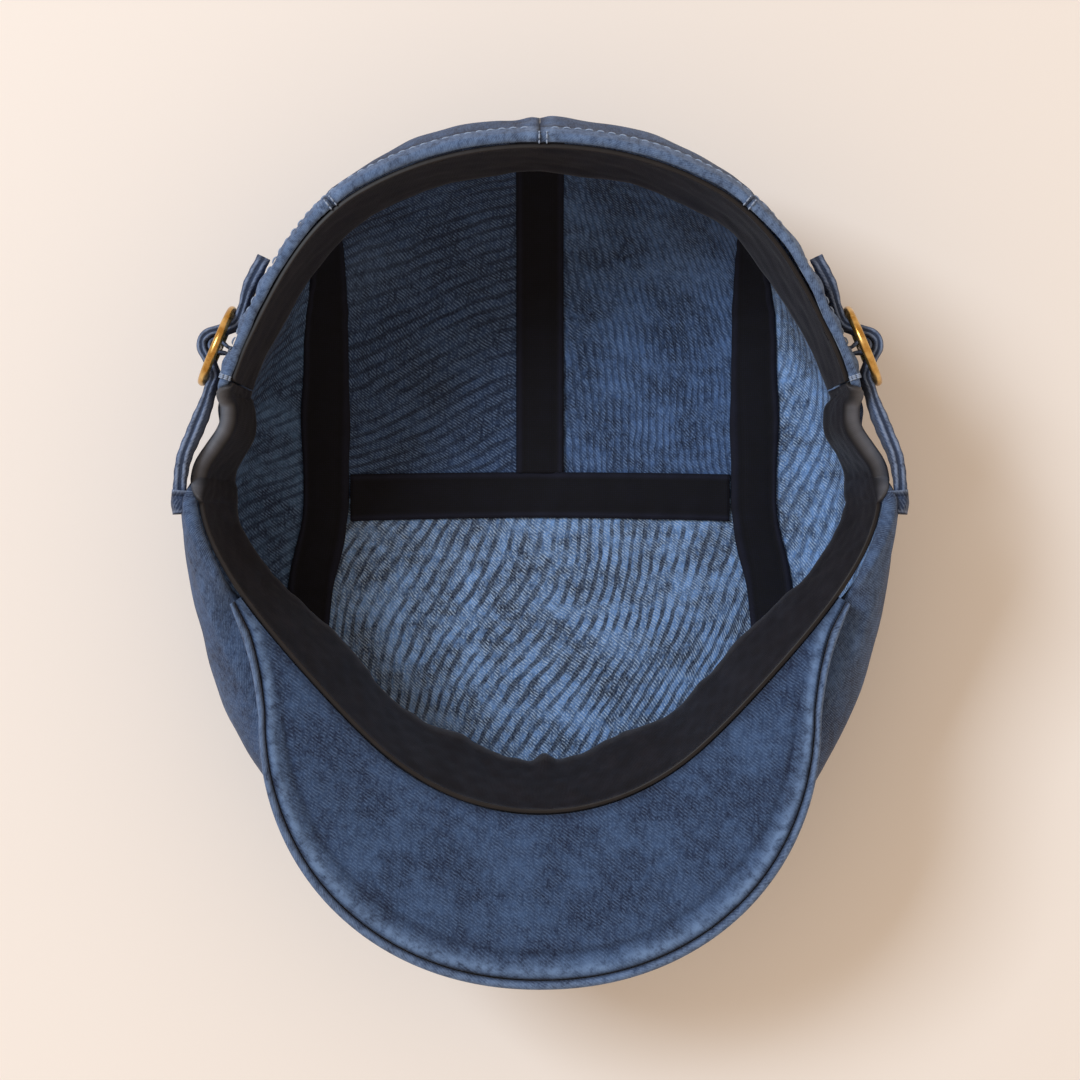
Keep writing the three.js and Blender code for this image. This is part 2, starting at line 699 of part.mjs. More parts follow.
function strapPoints() {
  const { centre, outward, backward } = buckleFrame;
  const under = buckleWire / 2 + pieceGap + strapThickness / 2;
  const over = buckleBar / 2 + pieceGap + keeperWall + pieceGap + strapThickness / 2;
  const sewn = [1, 0.5, 0].map((overlap) => {
    const angle = notchFrontAngle - overlap * strapHemOverlap;
    const place = rimPlace(angle);
    const top = crownPoint(place.x, place.y);
    const away = rimInward(angle).negate();
    const low = crownPoint(place.x * 0.92, place.y * 0.92);
    const lean = low.clone().sub(top).dot(away);
    const standOff = lean / 2 + pieceGap + strapThickness / 2 + strapStandOff;
    const middle = top.clone().addScaledVector(away, standOff);
    middle.z -= strapDrop;
    return { middle, away, lean };
  });
  const free = strapRoute.map((row) => {
    const offset = row.weave < 0 ? row.weave * under : row.weave * over;
    const middle = centre.clone().addScaledVector(backward, row.along * buckleRadius);
    middle.addScaledVector(outward, offset);
    middle.z += strapTailRise * Math.max(0, row.along - 1);
    return { middle, away: outward, lean: row.lean };
  });
  return [...sewn, ...free];
}

function strap() {
  const stations = strapPoints();
  const edgeCurve = (side) => new THREE.CatmullRomCurve3(stations.map((station) => {
    const edge = station.middle.clone().addScaledVector(station.away, -side * station.lean / 2);
    edge.z += side * strapWidth / 2;
    return edge;
  }));
  const topCurve = edgeCurve(1);
  const bottomCurve = edgeCurve(-1);
  const steps = 40;
  const acrossRows = [
    { place: -1, swell: 0.4 },
    { place: -0.72, swell: 1 },
    { place: 0.72, swell: 1 },
    { place: 1, swell: 0.4 },
  ];
  const sheet = (face) => Array.from({ length: steps + 1 }, (unused, i) => {
    const t = i / steps;
    const top = topCurve.getPoint(t);
    const bottom = bottomCurve.getPoint(t);
    const middle = top.clone().add(bottom).multiplyScalar(0.5);
    const tip = Math.max(0, (t - 1 + strapTipShare) / strapTipShare);
    const half = top.clone().sub(bottom).multiplyScalar(0.5 * Math.sqrt(1 - 0.92 * tip * tip));
    const thickWay = topCurve.getTangent(t).cross(half.clone().normalize()).normalize();
    return acrossRows.map((row) => {
      const point = middle.clone().addScaledVector(half, row.place);
      return point.addScaledVector(thickWay, face * row.swell * strapThickness / 2);
    });
  });
  return solidBetween(sheet(1), sheet(-1));
}

function buildSide(suffix, parent) {
  const { centre, outward, backward, up } = buckleFrame;
  addPiece(`crown_back_${suffix}`, backPanel(), colours.denim, 0.85, parent);
  addPiece(`crown_side_${suffix}`, sidePanel(), colours.denim, 0.85, parent);
  addPiece(`seam_tape_${suffix}`, sideTape(), colours.tape, 0.8, parent);
  addPiece(`strap_${suffix}`, strap(), colours.denim, 0.85, parent);
  const ring = addPiece(`buckle_${suffix}`, buckle(), colours.brass, 0.3, parent);
  const ringTurn = new THREE.Matrix4().makeBasis(backward, up, backward.clone().cross(up));
  ring.position.copy(centre);
  ring.quaternion.setFromRotationMatrix(ringTurn);
  const tab = addPiece(`keeper_${suffix}`, keeper(), colours.denim, 0.85, parent);
  const tabTurn = new THREE.Matrix4().makeBasis(backward.clone().negate(), outward, up);
  tab.position.copy(centre);
  tab.quaternion.setFromRotationMatrix(tabTurn);
}

addPiece('crown_front', frontPanel(), colours.denim, 0.85, group);
addPiece('seam_tape_centre', centreTape(), colours.tape, 0.8, group);
addPiece('seam_tape_cross', crossTape(), colours.tape, 0.8, group);
addPiece('peak_underside', peakUnderside(), colours.denim, 0.85, group);
addPiece('peak_top', peakTop(), colours.denim, 0.85, group);
const bandJoin = notchBackAngle + degrees;
const frontEnd = bandJoin - bandEndGap;
addPiece('sweatband_back', sweatband(bandJoin, Math.PI - bandJoin, 24), colours.sweatband, 0.6, group);
addPiece('sweatband_front', sweatband(-Math.PI - frontEnd, frontEnd, 56), colours.sweatband, 0.6, group);

const rightSide = new THREE.Group();
buildSide('right', rightSide);
group.add(rightSide);

const leftSide = new THREE.Group();
buildSide('left', leftSide);
leftSide.scale.x = -1;
group.add(leftSide);

// The frame's origin is the middle of the foot of the whole cap's box
group.updateMatrixWorld(true);
const wholeBox = new THREE.Box3().setFromObject(group, true);
const middle = wholeBox.getCenter(new THREE.Vector3());
group.position.set(-middle.x, -middle.y, -wholeBox.min.z);

export default group;
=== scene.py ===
"""Looks of a denim flat cap that lies upside down on its crown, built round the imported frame."""
import math

import bpy
import numpy as np
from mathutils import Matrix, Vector


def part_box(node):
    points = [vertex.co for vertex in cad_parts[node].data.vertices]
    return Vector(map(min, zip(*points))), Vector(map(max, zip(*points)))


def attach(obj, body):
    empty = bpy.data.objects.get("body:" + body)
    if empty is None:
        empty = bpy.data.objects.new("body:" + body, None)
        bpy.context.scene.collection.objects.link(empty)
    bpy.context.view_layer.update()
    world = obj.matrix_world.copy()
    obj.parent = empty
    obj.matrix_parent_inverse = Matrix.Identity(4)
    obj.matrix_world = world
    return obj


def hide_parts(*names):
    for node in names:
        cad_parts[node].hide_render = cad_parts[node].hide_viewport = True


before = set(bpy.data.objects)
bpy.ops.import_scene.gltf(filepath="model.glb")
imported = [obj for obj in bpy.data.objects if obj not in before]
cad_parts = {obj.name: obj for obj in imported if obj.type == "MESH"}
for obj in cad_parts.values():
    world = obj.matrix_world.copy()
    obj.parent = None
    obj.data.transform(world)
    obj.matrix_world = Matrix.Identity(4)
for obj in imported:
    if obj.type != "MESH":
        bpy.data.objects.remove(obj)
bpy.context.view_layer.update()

MM = 0.001
TAU = 2 * math.pi

# Form of the crown in millimetres, as the frame has it
RIM_HEIGHT = 82
RIM_TILT = math.radians(8)
CROSS_SEAM_Y = 14
CROWN_HALF_WIDTH = 105
CROWN_BACK_REACH = 110
CROWN_FRONT_REACH = 130
CROWN_WALL = 1.8
HEM_WALL = 2.3
HEM_DEPTH = 8
SEAM_RIM_ANGLE = math.radians(54.5)
NOTCH_BACK = 18
NOTCH_FRONT = -1
NOTCH_SLOPE = 3.5
NOTCH_DIP = 11
CINCH_DEPTH = 9.5
CINCH_AT_RIM = 5
CINCH_START = 0.5
CINCH_FULL = 0.74
CINCH_EASE_START = 0.8
GATHER_SLOPE = 8
GATHER_FADE_START = 28
GATHER_FADE_END = 60
PUCKER_DEPTH = 2.5
PUCKER_IN = (12, 4)
PUCKER_OUT = (4.5, 3.5)
RIM_FORM_START = 0.93
NOTCH_FORM_START = 0.86

TAPE_WIDTH = 15
TAPE_THICKNESS = 0.9
TAPE_GAP = 0.4
TAPE_END = 0.94

BAND_HEIGHT = 30
BAND_THICKNESS = 1.4
BAND_WAVE = 1.2
BAND_WAVES = 9
BAND_END_GAP = 0.3
BAND_DROP = 0.9

PEAK_CORNER = -19
PEAK_CORNER_FADE = 6
PEAK_CORNER_OUT = 3
PEAK_CORNER_AHEAD = 2
PEAK_LEG_SHARE = 0.2
PEAK_LEG_BOW = 1.5
PEAK_HALF_WIDTH = 80
PEAK_TIP_REACH = 142.5
PEAK_ROUND_REACH = 64
PEAK_SQUARENESS = 2.1
PEAK_UNDERSIDE = 2.0
PEAK_TOP = 2.2
PEAK_LIP = 3.0
PEAK_BORDER = 7
PEAK_RISE = 21.8
PEAK_CURL = 5
PEAK_CURL_REACH = 0.12
PIECE_GAP = 0.3

BUCKLE_ANGLE = 23.8
BUCKLE_RADIUS = 11
BUCKLE_WIRE = 2.6
BUCKLE_BAR = 2.0
BUCKLE_STAND_OFF = 5.9
BUCKLE_DROP = 13
BUCKLE_TILT = math.radians(6)
STRAP_WIDTH = 11
STRAP_THICKNESS = 2.4
STRAP_HEM_OVERLAP = 5
STRAP_DROP = 8.5
STRAP_STAND_OFF = 1.8
KEEPER_WALL = 1.0
KEEPER_WIDTH = 9
PLY = 1.9
PLY_PINCHED = 1.4
STRAP_STATIONS = 260
STRAP_HIDDEN_STATIONS = 26
SLEEVE_START_Y = 8.6
SLEEVE_END_Y = 15.2
SLEEVE_THICKNESS = 7.0

# Levels of the crown: run, height, front height, width, back, front, back square, front square, front taper
CROWN_LEVELS = np.array([
    (0.00, 0.000, 0.000, 0.000, 0.000, 0.000, 2.0, 2.00, 0.00),
    (0.17, 0.000, 0.000, 0.333, 0.264, 0.231, 2.0, 2.00, 0.00),
    (0.34, 0.000, 0.000, 0.667, 0.527, 0.462, 2.0, 2.00, 0.00),
    (0.40, 0.013, 0.013, 0.745, 0.630, 0.585, 2.0, 2.00, 0.00),
    (0.51, 0.085, 0.085, 0.880, 0.790, 0.760, 2.0, 2.05, 0.00),
    (0.62, 0.250, 0.270, 0.965, 0.930, 0.905, 2.0, 2.12, 0.00),
    (0.74, 0.520, 0.570, 1.000, 1.000, 0.985, 2.0, 2.16, 0.00),
    (0.84, 0.740, 0.840, 0.990, 0.985, 1.000, 2.0, 2.14, 0.02),
    (0.93, 0.910, 1.020, 0.965, 0.935, 0.935, 2.1, 2.06, 0.07),
    (1.00, 1.000, 1.000, 0.948, 0.905, 0.731, 2.1, 2.00, 0.20),
])
# along, across of the side seam, as shares of its end on the rim
SIDE_SEAM = np.array([
    (-1.00, 1.000), (-0.70, 0.900), (-0.50, 0.810), (-0.34, 0.710), (-0.20, 0.645), (0.00, 0.570),
    (0.20, 0.590), (0.45, 0.660), (0.60, 0.740), (0.74, 0.825), (1.00, 1.000),
])
# along the strap in buckle radii, weave, lean
STRAP_ROUTE = [
    (-3.05, -1.35, 0.6), (-2.30, -1.30, 0.0), (-1.55, -1.25, 0.0), (-1.10, -1.10, 0.0),
    (-0.75, -1.00, 0.0), (-0.46, 0.00, 0.0), (-0.23, 0.82, 0.0), (0.00, 1.08, 0.0),
    (0.23, 0.82, 0.0), (0.46, 0.00, 0.0), (0.75, -1.00, 0.0), (1.15, -1.05, 0.0),
    (1.70, -0.75, 0.4), (2.60, -0.90, 1.2),
]


# Small mathematics

def mix(a, b, share):
    return a + (b - a) * share


def smooth(start, end, value):
    t = np.clip((value - start) / (end - start), 0, 1)
    return t * t * (3 - 2 * t)


def bell(value, centre, half_width):
    return np.exp(-(((value - centre) / half_width) ** 2))


def table_curve(places, values):
    """A smooth curve through a table that never swings past its rows."""
    rises = np.diff(values) / np.diff(places)
    slopes = np.empty(len(values))
    slopes[0], slopes[-1] = rises[0], rises[-1]
    before, after = rises[:-1], rises[1:]
    same = before * after > 0
    total = np.where(same, before + after, 1)
    slopes[1:-1] = np.where(same, 2 * before * after / total, 0)

    def curve(place):
        i = np.clip(np.searchsorted(places, place, side="left") - 1, 0, len(places) - 2)
        width = places[i + 1] - places[i]
        t = np.clip((place - places[i]) / width, 0, 1)
        start = (1 + 2 * t) * (1 - t) ** 2 * values[i] + t * (1 - t) ** 2 * width * slopes[i]
        end = t * t * (3 - 2 * t) * values[i + 1] + t * t * (t - 1) * width * slopes[i + 1]
        return start + end
    return curve


def unit(vectors):
    return vectors / np.maximum(np.linalg.norm(vectors, axis=-1, keepdims=True), 1e-9)


def arc_lengths(points):
    """Distance along a line to each of its points."""
    return np.concatenate([[0], np.cumsum(np.linalg.norm(np.diff(points, axis=0), axis=-1))])


def squared(values, power):
    """Values from -1 to 1 pushed outward, which squares off a round section."""
    return np.sign(values) * np.abs(values) ** power


def wobble(x, y, scale, seed):
    """Gentle uneven waves over a sheet, from -1 to 1, with no repeat that shows."""
    rng = np.random.default_rng(seed)
    total = 0
    for _ in range(7):
        angle = rng.uniform(0, TAU)
        length = scale * rng.uniform(0.6, 1.6)
        phase = rng.uniform(0, TAU)
        total = total + np.sin(TAU * (x * math.cos(angle) + y * math.sin(angle)) / length + phase)
    return total / 4


# Form of the crown

LEVELS = [table_curve(CROWN_LEVELS[:, 0], CROWN_LEVELS[:, i]) for i in range(1, 9)]
SEAM_END_ALONG = math.sin(SEAM_RIM_ANGLE)
SEAM_END_ACROSS = math.cos(SEAM_RIM_ANGLE)
SEAM_CURVE = table_curve(SIDE_SEAM[:, 0], SIDE_SEAM[:, 1])
RIM_DROP = PEAK_UNDERSIDE + PEAK_TOP + 2 * PIECE_GAP


def rim_height(y):
    return RIM_HEIGHT + math.tan(RIM_TILT) * (y - CROSS_SEAM_Y)


def gather_share(side):
    fade = 1 - smooth(GATHER_FADE_START, GATHER_FADE_END, side)
    return smooth(NOTCH_FRONT - 1, NOTCH_FRONT + GATHER_SLOPE, side) * fade


def notch_share(side):
    back = 1 - smooth(NOTCH_BACK - NOTCH_SLOPE, NOTCH_BACK, side)
    return smooth(NOTCH_FRONT, NOTCH_FRONT + NOTCH_SLOPE, side) * back


def under_peak_share(side):
    return smooth(-PEAK_CORNER - PEAK_CORNER_FADE + 1, -PEAK_CORNER + 1, -side)


def egg_taper(amount, forward):
    return 1 - amount * smooth(0, 0.8, forward)


def side_angle(across, along):
    return np.degrees(np.arctan2(along, np.abs(across)))


def crown_point(across, along):
    """Points of the crown's outer surface at shares of the way to the rim, in millimetres."""
    across, along = np.broadcast_arrays(np.asarray(across, float), np.asarray(along, float))
    run = np.minimum(np.hypot(across, along), 1)
    height, front_height, width, back, front, back_square, front_square, taper = (f(run) for f in LEVELS)
    angle = np.arctan2(along, across)
    side = side_angle(across, along)
    is_back = along >= 0
    square = np.where(is_back, back_square, front_square)
    narrow = np.where(is_back, 1, egg_taper(taper, -np.sin(angle)))
    reach = np.where(is_back, back * CROWN_BACK_REACH, front * CROWN_FRONT_REACH)
    x = np.sign(across) * width * CROWN_HALF_WIDTH * narrow * np.abs(np.cos(angle)) ** (2 / square)
    y = CROSS_SEAM_Y + np.sign(along) * reach * np.abs(np.sin(angle)) ** (2 / square)
    z = mix(height, front_height, smooth(0.35, 0.95, -np.sin(angle))) * rim_height(y)
    z = z - RIM_DROP * smooth(RIM_FORM_START, 1, run) * under_peak_share(side)
    notch = notch_share(side)
    z = z - NOTCH_DIP * notch * smooth(NOTCH_FORM_START, 1, run)
    pucker = bell(side, *PUCKER_IN) - bell(side, *PUCKER_OUT)
    cinch = mix(CINCH_DEPTH, CINCH_AT_RIM, smooth(CINCH_EASE_START, 1, run))
    inward = cinch * smooth(CINCH_START, CINCH_FULL, run) * gather_share(side)
    inward = inward + PUCKER_DEPTH * notch * pucker * smooth(NOTCH_FORM_START, 1, run)
    x = x - np.sign(across) * inward * np.cos(np.radians(side))
    y = y - inward * np.sin(np.radians(side))
    return np.stack([x, y, z], axis=-1)


def crown_normal(across, along):
    """Outward normals of the crown."""
    step = 0.004
    run = np.hypot(across, along)
    angle = np.arctan2(along, across)

    def place(r, a):
        return crown_point(r * np.cos(a), r * np.sin(a))
    outer = np.minimum(run + step, 1)
    upward = place(outer, angle) - place(outer - 2 * step, angle)
    around = place(run, angle + step) - place(run, angle - step)
    normal = unit(np.cross(around, upward))
    flat = run < CROWN_LEVELS[2, 0]
    normal[flat] = (0, 0, -1)
    return normal


def cloth_per_run():
    """Millimetres of cloth per share of the way to the rim, near the back of the rim."""
    near = crown_point(np.zeros(2), np.array([1, RIM_FORM_START]))
    return np.linalg.norm(near[1] - near[0]) / (1 - RIM_FORM_START)


CLOTH_PER_RUN = cloth_per_run()


def wall_at(across, along):
    run = np.hypot(across, along)
    hem_run = 1 - HEM_DEPTH / CLOTH_PER_RUN
    hem = smooth(hem_run - 0.02, hem_run, run) * (1 - 0.6 * notch_share(side_angle(across, along)))
    return mix(CROWN_WALL, HEM_WALL, hem)


def seam_place(share, shift=0.0):
    """Places on the right side seam. share runs from -1 at the front rim to 1 at the back rim."""
    share = np.asarray(share, float)
    along = share * SEAM_END_ALONG
    across = SEAM_CURVE(share) * SEAM_END_ACROSS
    step = 0.01
    near = crown_point(across + step / 2, along) - crown_point(across - step / 2, along)
    scale = np.linalg.norm(near, axis=-1) / step
    return np.stack([across + shift / scale, along], axis=-1)


def onto_rim(places):
    """Moves the last row of places onto the rim."""
    places[-1] = unit(places[-1])
    return places


# Arc length from the middle of the crown, for cloth coordinates that run on up the walls
ARC_RUNS = np.linspace(0, 1, 101)


def cloth_coordinates(across, along):
    """Flat places in the cloth, in metres: straight out from the middle of the crown."""
    run = np.hypot(across, along)
    angle = np.arctan2(along, across)
    angles = np.linspace(-math.pi, math.pi, 73)
    line = crown_point(ARC_RUNS[:, None] * np.cos(angles), ARC_RUNS[:, None] * np.sin(angles))
    steps = np.linalg.norm(np.diff(line, axis=0), axis=-1)
    arcs = np.vstack([np.zeros((1, len(angles))), np.cumsum(steps, axis=0)])
    row = np.clip(run, 0, 1) * (len(ARC_RUNS) - 1)
    column = (angle + math.pi) / TAU * (len(angles) - 1)
    r0 = np.clip(row.astype(int), 0, len(ARC_RUNS) - 2)
    c0 = np.clip(column.astype(int), 0, len(angles) - 2)
    fr, fc = row - r0, column - c0
    arc = mix(mix(arcs[r0, c0], arcs[r0, c0 + 1], fc), mix(arcs[r0 + 1, c0], arcs[r0 + 1, c0 + 1], fc), fr)
    return np.stack([arc * np.cos(angle), arc * np.sin(angle)], axis=-1) * MM


# Meshes

# The frame has the cap's box in the middle, and the measures here start from the crown's middle
SHIFT_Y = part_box("peak_top")[0].y / MM - (CROSS_SEAM_Y - PEAK_TIP_REACH)


def to_metres(points):
    return (np.asarray(points) + (0, SHIFT_Y, 0)) * MM


def make_mesh(name, points, faces, materials, uvs=None, face_slots=None):
    """A mesh object in the frame from points in millimetres."""
    mesh = bpy.data.meshes.new(name)
    mesh.from_pydata(to_metres(points).tolist(), [], [tuple(face) for face in faces])
    for material in materials:
        mesh.materials.append(material)
    if uvs is not None:
        layer = mesh.uv_layers.new(name="cloth")
        corner = np.empty(len(mesh.loops), dtype=np.int64)
        mesh.loops.foreach_get("vertex_index", corner)
        layer.data.foreach_set("uv", np.asarray(uvs, np.float32)[corner].ravel())
    if face_slots is not None:
        mesh.polygons.foreach_set("material_index", np.asarray(face_slots, np.int32))
    mesh.polygons.foreach_set("use_smooth", np.full(len(mesh.polygons), True))
    mesh.validate()
    mesh.update()
    piece = bpy.data.objects.new(name, mesh)
    bpy.context.collection.objects.link(piece)
    return piece


def faces_out(points, faces):
    """Turns the faces over where the closed mesh has its inside out."""
    points = np.asarray(points)
    a, b, c, d = (points[faces[:, i]] for i in range(4))
    volume = np.einsum("ij,ij->", a, np.cross(b, c)) + np.einsum("ij,ij->", a, np.cross(c, d))
    return faces if volume > 0 else faces[:, ::-1]


def loop_shell(sections):
    """Faces of a tube whose rows are closed sections, with both ends closed by strips.

    sections has shape (stations, around, 3). The strips join opposite points of an end."""
    stations, around = sections.shape[:2]
    s, k = np.meshgrid(np.arange(stations - 1), np.arange(around), indexing="ij")
    a = s * around + k
    b = s * around + (k + 1) % around
    tube = np.stack([a, b, b + around, a + around], axis=-1).reshape(-1, 4)
    k = np.arange(around // 2 - 1)
    near = np.stack([k, around - 1 - k, around - 2 - k, k + 1], axis=-1)
    far = near[:, ::-1] + (stations - 1) * around
    return np.vstack([tube, near, far])


def strip_uvs(length, width):
    """Cloth coordinates in metres of a strip, from millimetres along and across it."""
    return np.stack(np.broadcast_arrays(length[:, None], width[None]), axis=-1).reshape(-1, 2) * MM


def add_values(piece, name, values):
    layer = piece.data.attributes.new(name, "FLOAT", "POINT")
    layer.data.foreach_set("value", np.asarray(values, np.float32).ravel())


def finish_piece(piece, node, replace=True):
    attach(piece, "root")
    if replace:
        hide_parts(node)
    return piece


def cloth_piece(name, sections, uvs, material, wear_and_highlight, crease_shade, replace=True):
    """A closed piece of cloth from its sections, with how worn each point is (a painted highlight too on
    the sweatband's notch roll) and how much painted shade it gets in creases and grooves.
    """
    points = sections.reshape(-1, 3)
    faces = faces_out(points, loop_shell(sections))
    piece = make_mesh(f"{name}_look", points, faces, (material,), uvs)
    for value_name, values in (("wear_and_highlight", wear_and_highlight), ("crease_shade", crease_shade)):
        add_values(piece, value_name, np.broadcast_to(values, sections.shape[:2]))
    return finish_piece(piece, name, replace)


# Crown panels

FLAT_RUN = CROWN_LEVELS[2, 0]
FLAT_BACK_SCALE = CROWN_LEVELS[2, 4] * CROWN_BACK_REACH / FLAT_RUN
FLAT_FRONT_SCALE = CROWN_LEVELS[2, 5] * CROWN_FRONT_REACH / FLAT_RUN
FLAT_SIDE_SCALE = CROWN_LEVELS[2, 3] * CROWN_HALF_WIDTH / FLAT_RUN
SEAM_GAP = 0.06
SEAM_WIDTH = 1.4
FOLD_ROWS = np.arange(1, 7)[:, None, None]
FOLD_CLOTH_STEP = 0.0007
HEM_PER_DEGREE = 1.7
HEM_STITCH_IN = 1.8


def straight(start, end):
    return lambda share: mix(start, end, share[..., None])


def rim_arc(start, end):
    first = math.atan2(start[1], start[0])
    turn = (math.atan2(end[1], end[0]) - first + math.pi) % TAU - math.pi
    return lambda share: np.stack([np.cos(first + turn * share), np.sin(first + turn * share)], axis=-1)


def patch(bottom, top, left, right, columns, rows):
    """Places of a four-sided patch of the crown. The top edge lies on the rim."""
    u = np.linspace(0, 1, columns)
    v = rows
    low, high, near, far = bottom(u), top(u), left(v), right(v)
    places = low[None] * (1 - v)[:, None, None] + high[None] * v[:, None, None]
    places = places + near[:, None] * (1 - u)[None, :, None] + far[:, None] * u[None, :, None]
    for corner, weight in (
        (near[0], np.outer(1 - v, 1 - u)),
        (far[0], np.outer(1 - v, u)),
        (near[-1], np.outer(v, 1 - u)),
        (far[-1], np.outer(v, u)),
    ):
        places = places - weight[..., None] * corner
    return onto_rim(places)


def back_edge(start, direction, shift):
    """The side seam from a place just off the cross seam to the rim."""
    def edge(v):
        places = seam_place(direction * mix(start / SEAM_END_ALONG, 1, v), shift)
        places[v == 1] = unit(places[v == 1])
        return places
    return edge


def mirrored(edge):
    return lambda v: edge(v) * (-1, 1)


def rows_for(count):
    """Rows from the low edge to the rim, closer together at the hem."""
    t = np.linspace(0, 1, count)
    return t + 0.1 * t * (1 - t)


def front_places(rows, columns):
    right = back_edge(SEAM_GAP / FLAT_FRONT_SCALE, -1, -SEAM_GAP)
    left = mirrored(right)
    ends = np.array([0.0]), np.array([1.0])
    bottom = straight(left(ends[0])[0], right(ends[0])[0])
    top = rim_arc(left(ends[1])[0], right(ends[1])[0])
    return patch(bottom, top, left, right, columns, rows)


def back_places(rows, columns):
    right = back_edge(SEAM_GAP / FLAT_BACK_SCALE, 1, -SEAM_GAP)

    def left(v):
        across = np.full(len(v), SEAM_GAP / FLAT_SIDE_SCALE)
        places = np.stack([across, mix(SEAM_GAP / FLAT_BACK_SCALE, 1, v)], axis=-1)
        places[v == 1] = unit(places[v == 1])
        return places
    ends = np.array([0.0]), np.array([1.0])
    bottom = straight(left(ends[0])[0], right(ends[0])[0])
    top = rim_arc(left(ends[1])[0], right(ends[1])[0])
    return patch(bottom, top, left, right, columns, rows)


SIDE_FLAT_SHARE = 0.34


def side_places(rows, columns):
    def seam_at(share):
        places = seam_place(share, SEAM_GAP)
        places[np.abs(share) == 1] = unit(places[np.abs(share) == 1])
        return places

    def bottom(u):
        return seam_at(mix(SIDE_FLAT_SHARE, -SIDE_FLAT_SHARE, u))

    def left(v):
        return seam_at(mix(SIDE_FLAT_SHARE, 1.0, v))

    def right(v):
        return seam_at(mix(-SIDE_FLAT_SHARE, -1.0, v))
    end = np.array([1.0])
    top = rim_arc(left(end)[0], right(end)[0])
    return patch(bottom, top, left, right, columns, rows)


def rim_distance(places):
    """Millimetres down from the rim, near the rim."""
    return (1 - np.hypot(places[..., 0], places[..., 1])) * CLOTH_PER_RUN


def edge_distance(points):
    """Millimetres from the nearer side edge of a patch, for each point of its sheet."""
    steps = np.linalg.norm(np.diff(points, axis=1), axis=-1)
    arcs = np.concatenate([np.zeros((points.shape[0], 1)), np.cumsum(steps, axis=1)], axis=1)
    return np.minimum(arcs, arcs[:, -1:] - arcs)


def crown_relief(places, outer, cloth, seed):
    """How far the cloth stands out and how deep it goes at each place, how worn it is, and how much painted
    shade its creases and seam grooves get.
    """
    across, along = places[..., 0], places[..., 1]
    run = np.hypot(across, along)
    side = side_angle(across, along)
    down = rim_distance(places)
    seam = edge_distance(outer)
    hem_length = np.degrees(np.arctan2(along, across)) * HEM_PER_DEGREE
    notch = notch_share(side)
    back = smooth(NOTCH_FRONT, NOTCH_BACK, side)
    wall = smooth(FLAT_RUN, 0.6, run)

    folds = 0.9 * wobble(cloth[..., 0], cloth[..., 1], 0.06, seed) * wall
    folds = folds + 0.2 * wobble(cloth[..., 0], cloth[..., 1], 0.022, seed + 1) * (0.4 + 0.6 * wall)
    fan = np.sin(TAU * (side - 8.5) / 7.5) * gather_share(side) * smooth(0.62, 0.95, run)
    folds = folds + 1.0 * fan * (1 - smooth(0.97, 1, run))
    near_hem = smooth(HEM_DEPTH + 8, HEM_DEPTH - 2, down)
    folds = folds * (1 - 0.85 * near_hem * (1 - gather_share(side))) * smooth(0, 9, seam)

    seam_dip = (0.4 - 0.3 * near_hem) * bell(seam, 0, SEAM_WIDTH) - 0.08 * bell(seam, 3.2, 1.6)
    pucker = 0.16 * np.sin(TAU * along * 22 + seed) * bell(seam, 3, 3) * wall
    hem = 1 - smooth(HEM_DEPTH - 0.6, HEM_DEPTH + 0.3, down)
    twist = 2.2 * np.sin(hem_length / 7) + 1.3 * np.sin(hem_length / 2.9 + seed)
    rope = np.sin(TAU * (hem_length + 1.3 * down + twist) / 9)
    pocket = 1.7 * bell(side, NOTCH_FRONT - 4, 9) * smooth(16, 4, down)
    ripple = 0.16 * wobble(hem_length, 0 * hem_length, 30, seed + 2) * smooth(0, 9, seam)
    lift = hem * (0.3 + 0.02 * rope + 0.3 * back * bell(down, HEM_DEPTH * 0.45, 2.6))
    lift = lift + ripple * (1 - smooth(HEM_DEPTH, 3 * HEM_DEPTH, down))
    lift = lift - 0.3 * back * bell(down, HEM_DEPTH - HEM_STITCH_IN, 0.6)
    outset = -folds * 0.8 - seam_dip - pucker + lift * (1 - notch) + pocket
    depth = wall_at(across, along) + folds * 0.8 - ripple * near_hem + 0.2 * bell(seam, 0, SEAM_WIDTH)
    flat = (1 - smooth(FLAT_RUN, 0.45, run))
    outset = mix(outset, -0.35 - 0.25 * np.abs(folds), flat)
    depth = np.maximum(depth, 0.9 - outset)

    wear_and_highlight = smooth(HEM_DEPTH + 1.5, HEM_DEPTH - 1, down) * (0.42 + 0.06 * rope) * (0.35 + 0.65 * back)
    wear_and_highlight = wear_and_highlight * (1 - notch) + 0.3 * bell(seam, 3, 1.4) + np.clip(-folds, 0, 1) * 0.25
    # Painted shade: a dark line just under the hem's edge at the back, and along the seam grooves.
    crease_shade = bell(down, HEM_DEPTH + 0.9, 0.8) * (1 - notch) * back + 0.8 * bell(seam, 0, 0.6)
    return outset, depth, np.clip(wear_and_highlight, 0, 1), np.clip(crease_shade, 0, 1)


def rim_fold(outer_sheet, inner_sheet):
    """Rows that round off the hem's top from its outside to its inside."""
    rim_out, rim_in = outer_sheet[-1], inner_sheet[-1]
    upward = unit(rim_out - outer_sheet[-3])
    turn = np.linspace(0, math.pi, len(FOLD_ROWS) + 2)[1:-1, None, None]
    half = (rim_out - rim_in) / 2
    height = 0.8 * np.linalg.norm(half, axis=-1, keepdims=True)
    return (rim_out + rim_in) / 2 + np.cos(turn) * half + np.sin(turn) * height * upward


